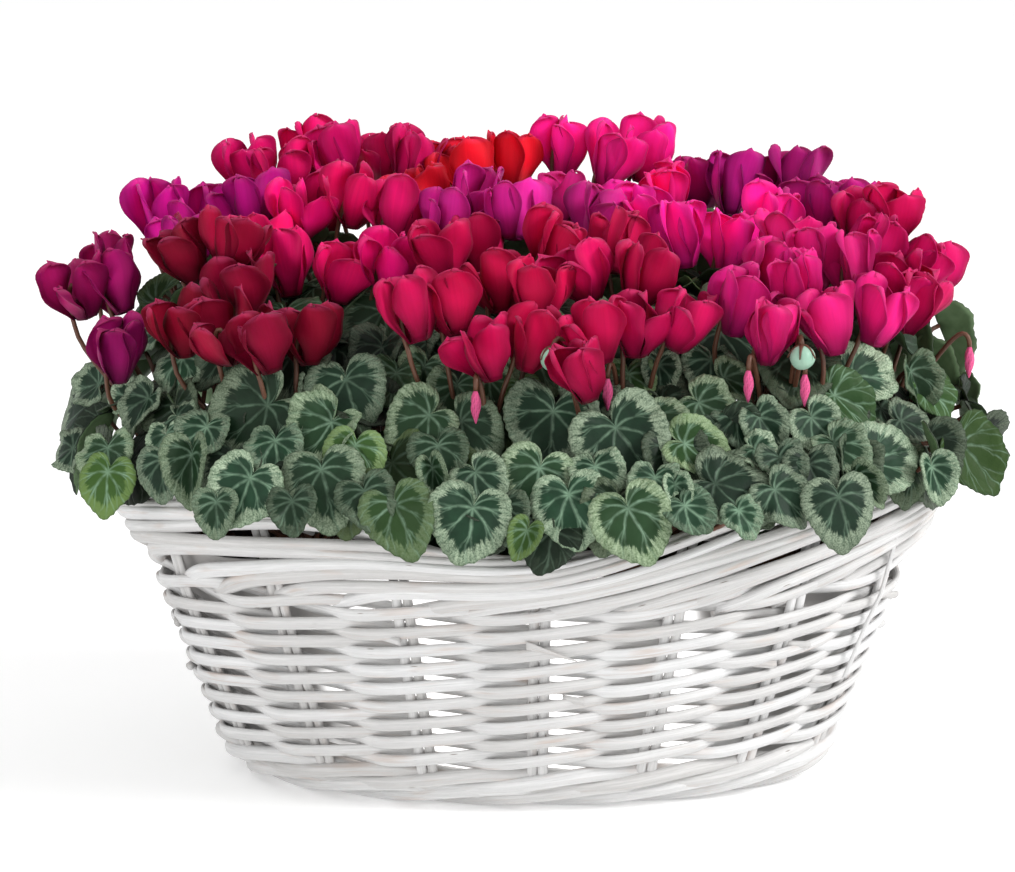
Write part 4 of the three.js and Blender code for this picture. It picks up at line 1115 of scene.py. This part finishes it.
def tuber(name, root):
    """A tuber: a flattened, lumpy corm, half sunk in the peat, with the crown that its stalks rise from."""
    angles = np.linspace(0, 2 * math.pi, 28, endpoint=False)
    rings = []
    for polar in math.pi * np.linspace(0.03, 0.97, 14):
        level = 0 * angles - math.cos(polar)
        ring = np.stack([np.cos(angles) * math.sin(polar), np.sin(angles) * math.sin(polar), level], -1)
        lumps = np.array([noise.noise(Vector(p) * 2.2 + Vector((*root, 0))) for p in ring])
        size = np.array([TUBER_RADIUS, TUBER_RADIUS, TUBER_HALF_HEIGHT])
        rings.append(ring * size * (1 + 0.14 * lumps)[:, None] + np.array([*root, PEAT_TOP]))
    heap = Heap()
    heap.add_stack(rings)
    heap.make(f"{name}_tuber", TUBER_SKIN, "leaves", f"{name}_leaves")


# ---------------------------------------------------------------- blooms


PETAL_ROWS = 15
PETAL_COLUMNS = 9
# The short tube at the heart of a flower: radius and height over the mouth, from its sepals to its inside.
NOSE_PROFILE = [(0.8, 9.5), (2.6, 9), (3.1, 6), (4.2, 1.5), (4.9, -1.3), (3.9, -1.6), (2.8, 1), (0.6, 3)]


def add_petal(heap, mouth, axes, angle, shape, tint, seed):
    """One petal: it bends out from the mouth's rim and sweeps up, widest past the middle and blunt."""
    right, back, up = axes
    along = np.sin(np.linspace(0, math.pi / 2, PETAL_ROWS))[:, None]
    across = np.linspace(-1, 1, PETAL_COLUMNS)[None, :]
    out = right * math.cos(angle) + back * math.sin(angle)
    aside = back * math.cos(angle) - right * math.sin(angle)
    # Its half width: a narrow foot, a broad middle, and a tip that closes over the last four tenths.
    grown = np.clip(along / 0.64, 0, 1)
    swell = 0.36 + 0.64 * grown * grown * (3 - 2 * grown)
    closing = np.clip(1 - np.clip((along - 0.6) / 0.4, 0, 1) ** 4.8, 0.0005, 1) ** 0.5
    ragged = 1 + 0.08 * np.sin(10 * along + seed + 2 * np.sign(across)) * np.abs(across)
    half = shape["width"] * swell * closing * ragged
    # Its sweep: out from the mouth, then up, with a scalloped tip.
    bow = np.sin(np.clip(along / 0.7, 0, 1) * math.pi / 2)
    radial = MOUTH_RADIUS + (shape["reach"] - MOUTH_RADIUS) * bow + shape["curl"] * along**2
    rise = -1 + (shape["height"] + 1) * along**1.05 - 0.5 * across**2 * along
    rise = rise + 0.9 * np.sin(4.5 * across + seed) * along**6
    turned = shape["twist"] * (0.3 + 0.7 * along)
    wave = shape["wave"] * along * np.sin(6 * along + 3.4 * across + seed) * (0.3 + 0.7 * np.abs(across))
    cross = aside * np.cos(turned)[..., None] + out * np.sin(turned)[..., None]
    face = out * np.cos(turned)[..., None] - aside * np.sin(turned)[..., None]
    corners = (mouth + out * radial[..., None] + up * rise[..., None] + cross * (half * across)[..., None]
               + face * (wave - shape["cup"] * half * across**2)[..., None]
               + aside * (shape["sway"] * along**2)[..., None])
    place = np.stack(np.broadcast_arrays(across, along, seed), -1)
    heap.add(corners.reshape(-1, 3), [grid_faces(PETAL_ROWS, PETAL_COLUMNS)], place.reshape(-1, 3), tint)


def petal_shape(draw, height, reach, twist):
    """The shape of one petal. About one in five flops outwards."""
    flop = draw(0, 1) < 0.2
    return {
        "height": height * draw(0.86, 1.04) * (1 - 0.2 * flop),
        "width": PETAL_HALF_WIDTH * draw(0.82, 1.12),
        "reach": min(reach * draw(0.6, 1.2), 15) + 2.5 * flop,
        "curl": draw(-3, 4.5) + 3 * flop,
        "twist": twist + draw(-0.35, 0.35),
        "wave": draw(1.2, 3.4),
        "cup": draw(-0.2, 0.3),
        "sway": draw(-3, 4),
    }


def add_nose(heap, mouth, axes, tint):
    """The short tube at the heart of the flower, from its sepals down to the dark mouth."""
    right, back, up = axes
    sides = 15
    angles = np.linspace(0, 2 * math.pi, sides, endpoint=False)[:, None]
    spoke = np.cos(angles) * right + np.sin(angles) * back
    rings = [mouth + spoke * radius + up * rise for radius, rise in NOSE_PROFILE]
    # The petal's material is darkest where a petal starts, so the nose counts as the first sixth of one.
    place = np.repeat([(0, max(rise, 0) / 60, 3) for _, rise in NOSE_PROFILE], sides, axis=0)
    heap.add_stack(rings, place, tint)


def stem_start(root, out):
    """Where the stem of a flower leaves the crown of its plant."""
    return np.array([root[0], root[1], CROWN_TOP - 6.0]) + out * 4


def add_bloom_stem(heap, root, mouth, axes, seed):
    """A bloom's stem: up out of the crown, past the mouth among the petals, and over in a small hook."""
    right, _, up = axes
    out = away_from(root, mouth)
    start = stem_start(root, out)
    beside = mouth - right * 6.5
    rising = bend([start, start + [0, 0, 45] + out * 4, beside - up * 30 - right * 2, beside - up * 4], 14)
    hook = bend([beside - up * 4, beside + up * 12 - right, beside + up * 22 + right * 4, mouth + up * 19,
                 mouth + up * 8], 10)
    add_stalk(heap, np.concatenate([rising, hook[1:]]), STEM_RADIUS, seed)


def add_bloom(heaps, root, mouth, hue, openness, draw, detail):
    """One bloom: petals round a nose, on a stem. Draw sets its stance and size, and detail its looks."""
    petals, noses, stems = heaps
    mouth = np.array(mouth, float)
    lean = (mouth[:2] - root) * BLOOM_LEAN
    up = unit([lean[0] + draw(-BLOOM_TILT, BLOOM_TILT), lean[1] + draw(-BLOOM_TILT, BLOOM_TILT), 1])
    turn = draw(0, 2 * math.pi)
    height = PETAL_HEIGHT * draw(0.9, 1.08)
    reach = (9 * draw(0.75, 1.1) + 1.5) * openness
    right = unit(np.array([1, 0, 0]) - up * up[0])
    axes = (right, np.cross(up, right), up)
    tint = hue * detail(0.85, 1.2) * np.array([1, 1, detail(0.85, 1.2)])
    twist = detail(0.35, 0.95)
    for k in range(PETALS):
        shape = petal_shape(detail, height, reach, twist)
        angle = turn + (k + 0.5) * 2 * math.pi / PETALS + detail(-0.16, 0.16)
        add_petal(petals, mouth, axes, angle, shape, tint * detail(0.88, 1.14), detail(0, 6))
    add_nose(noses, mouth, axes, tint * NOSE_SHADE)
    add_bloom_stem(stems, root, mouth, axes, detail(0, 50))


def add_bud(petals, stems, root, tip, tint, seed):
    """A closed bud: its petals furled to a point, hung from a hooked stem."""
    tip = np.array(tip, float)
    share = np.linspace(0, 1, 12)[:, None]
    radius = BUD_RADIUS * np.sin(math.pi * share**1.2) ** 0.8 + 0.3
    angles = np.linspace(0, 2 * math.pi, 15, endpoint=False)[None, :] + 2.2 * share
    folded = radius * (1 + 0.16 * np.cos(5 * (angles - 2.2 * share)))
    level = BUD_LENGTH * share + 0 * angles
    rings = tip + np.stack([folded * np.cos(angles), folded * np.sin(angles), level], -1)
    place = np.stack(np.broadcast_arrays(np.cos(5 * angles) * 0.9, 0.95 - 0.4 * share, seed), -1)
    petals.add_stack(rings, place.reshape(-1, 3), tint)
    out = away_from(root, tip)
    start = stem_start(root, out)
    top = tip + [0, 0, BUD_LENGTH - 1]
    course = bend([start, start + [0, 0, 50], top - out * 12 - [0, 0, 10], top - out * 9 + [0, 0, 16],
                   top + [0, 0, 10], top], 18)
    add_stalk(stems, course, STEM_RADIUS, seed)


def add_pod(pods, stems, root, place, seed):
    """An unripe pod where a flower has set seed: a round green fruit in its sepals, on a hooked stem."""
    place = np.array(place, float)
    polar = np.linspace(0.05, math.pi - 0.05, 11)[:, None]
    angles = np.linspace(0, 2 * math.pi, 18, endpoint=False)[None, :]
    around = POD_RADIUS * np.sin(polar) * (1 + 0.05 * np.cos(5 * angles))
    level = -POD_RADIUS * np.cos(polar) + 0 * angles
    pods.add_stack(place + np.stack([around * np.cos(angles), around * np.sin(angles), level], -1))
    for angle in np.linspace(0, 2 * math.pi, 5, endpoint=False) + seed:
        out = np.array([math.cos(angle), math.sin(angle), 0])
        sepal = bend([place + [0, 0, POD_RADIUS + 0.2], place + out * 4 + [0, 0, POD_RADIUS + 0.6],
                      place + out * (POD_RADIUS + 0.9)], 6)
        aside = np.cross([0, 0, 1], out)
        add_tube(stems, sepal, np.broadcast_to(out, sepal.shape), np.broadcast_to(aside, sepal.shape), 0.5,
                 np.linspace(1.6, 0.3, 6), seed, sides=6)
    out = away_from(root, place)
    start = stem_start(root, out)
    top = place + [0, 0, POD_RADIUS - 0.5]
    course = bend([start, start + [0, 0, 60], top - out * 9 - [0, 0, 6], top - out * 7 + [0, 0, 14], top], 16)
    add_stalk(stems, course, STEM_RADIUS, seed)


def grow_blooms():
    """All blooms and buds, in three pieces for each plant.

    A bloom stands where its solid does, or up to 11 mm nearer the middle, with the same turn and height, and
    its petals closer together. Those that fill gaps have draws of their own, so that the others keep theirs.
    """
    draw = draws_from(20231)
    detail = draws_from(97)
    gap_draw = draws_from(811)
    bud_tint = np.array(colour(BUD_COLOUR)[:3])
    for name, (root, hex_code, openness, mouths, tips) in PLANTS.items():
        hue = np.array(colour(hex_code)[:3])
        petals, noses, stems = heaps = [Heap() for _ in range(3)]
        for mouth in mouths:
            add_bloom(heaps, root, mouth, hue, openness, draw, detail)
        for mouth in GAP_BLOOMS.get(name, []):
            add_bloom(heaps, root, mouth, hue, openness, gap_draw, gap_draw)
        for tip in tips:
            add_bud(noses, stems, root, tip, bud_tint, detail(0, 6))
        node = f"{name}_blooms"
        slot = f"{name}_petals"
        thicken(petals.make(f"{name}_petals", PETAL, slot, node), PETAL_THICKNESS)
        noses.make(f"{name}_noses_and_buds", PETAL, slot, node)
        stems.make(f"{name}_flower_stems", STEM, slot, node)


def grow_pods():
    """The two seed pods and their stems."""
    pods = Heap()
    stems = Heap()
    for k, (name, place) in enumerate(PODS):
        add_pod(pods, stems, PLANTS[name][0], place, k * 0.7)
    pods.make("seed_pods", seed_pod(), "leaves")
    stems.make("seed_pod_stems", STEM, "leaves")


# ---------------------------------------------------------------- floor, light, camera


def lay_floor():
    """The studio's floor, which isn't part of the object."""
    bpy.ops.mesh.primitive_plane_add(size=FLOOR_SIZE)
    floor = bpy.context.object
    floor.name = "floor"
    floor.data.materials.append(pale_floor())


def soft_light(name, place, size, watts):
    """A large soft lamp that faces the basket."""
    lamp = bpy.data.lights.new(name, "AREA")
    lamp.shape = "DISK"
    lamp.size = size
    lamp.energy = watts
    stand = bpy.data.objects.new(name, lamp)
    stand.location = place
    stand.rotation_euler = (Vector(LAMP_AIM) - Vector(place)).to_track_quat("-Z", "Y").to_euler()
    bpy.context.scene.collection.objects.link(stand)


def light_the_room():
    """White light from all round, a lamp high on the right and a weaker one low on the left."""
    world = bpy.data.worlds.new("pale_room")
    world.use_nodes = True
    sky = world.node_tree.nodes["Background"]
    sky.inputs["Color"].default_value = colour("#ffffff")
    sky.inputs["Strength"].default_value = ROOM_LIGHT
    bpy.context.scene.world = world
    soft_light("key", *KEY_LAMP)
    soft_light("fill", *FILL_LAMP)
    bpy.context.scene.view_settings.view_transform = "Standard"


def set_camera():
    """The camera, where the photograph's seems to have stood: it looks along +Y and a little down."""
    camera = bpy.data.objects.new("camera", bpy.data.cameras.new("camera"))
    camera.data.lens = LENS
    camera.data.sensor_width = SENSOR
    camera.data.clip_end = FAR_CLIP
    camera.location = Vector(CAMERA_PLACE / 1000)
    camera.rotation_euler = (math.pi / 2 - CAMERA_ELEVATION, 0, 0)
    bpy.context.scene.collection.objects.link(camera)
    bpy.context.scene.camera = camera


set_camera()
basket_frame()
woven_wall()
film_liner()
peat_bed()
grow_foliage()
grow_blooms()
grow_pods()
lay_floor()
light_the_room()
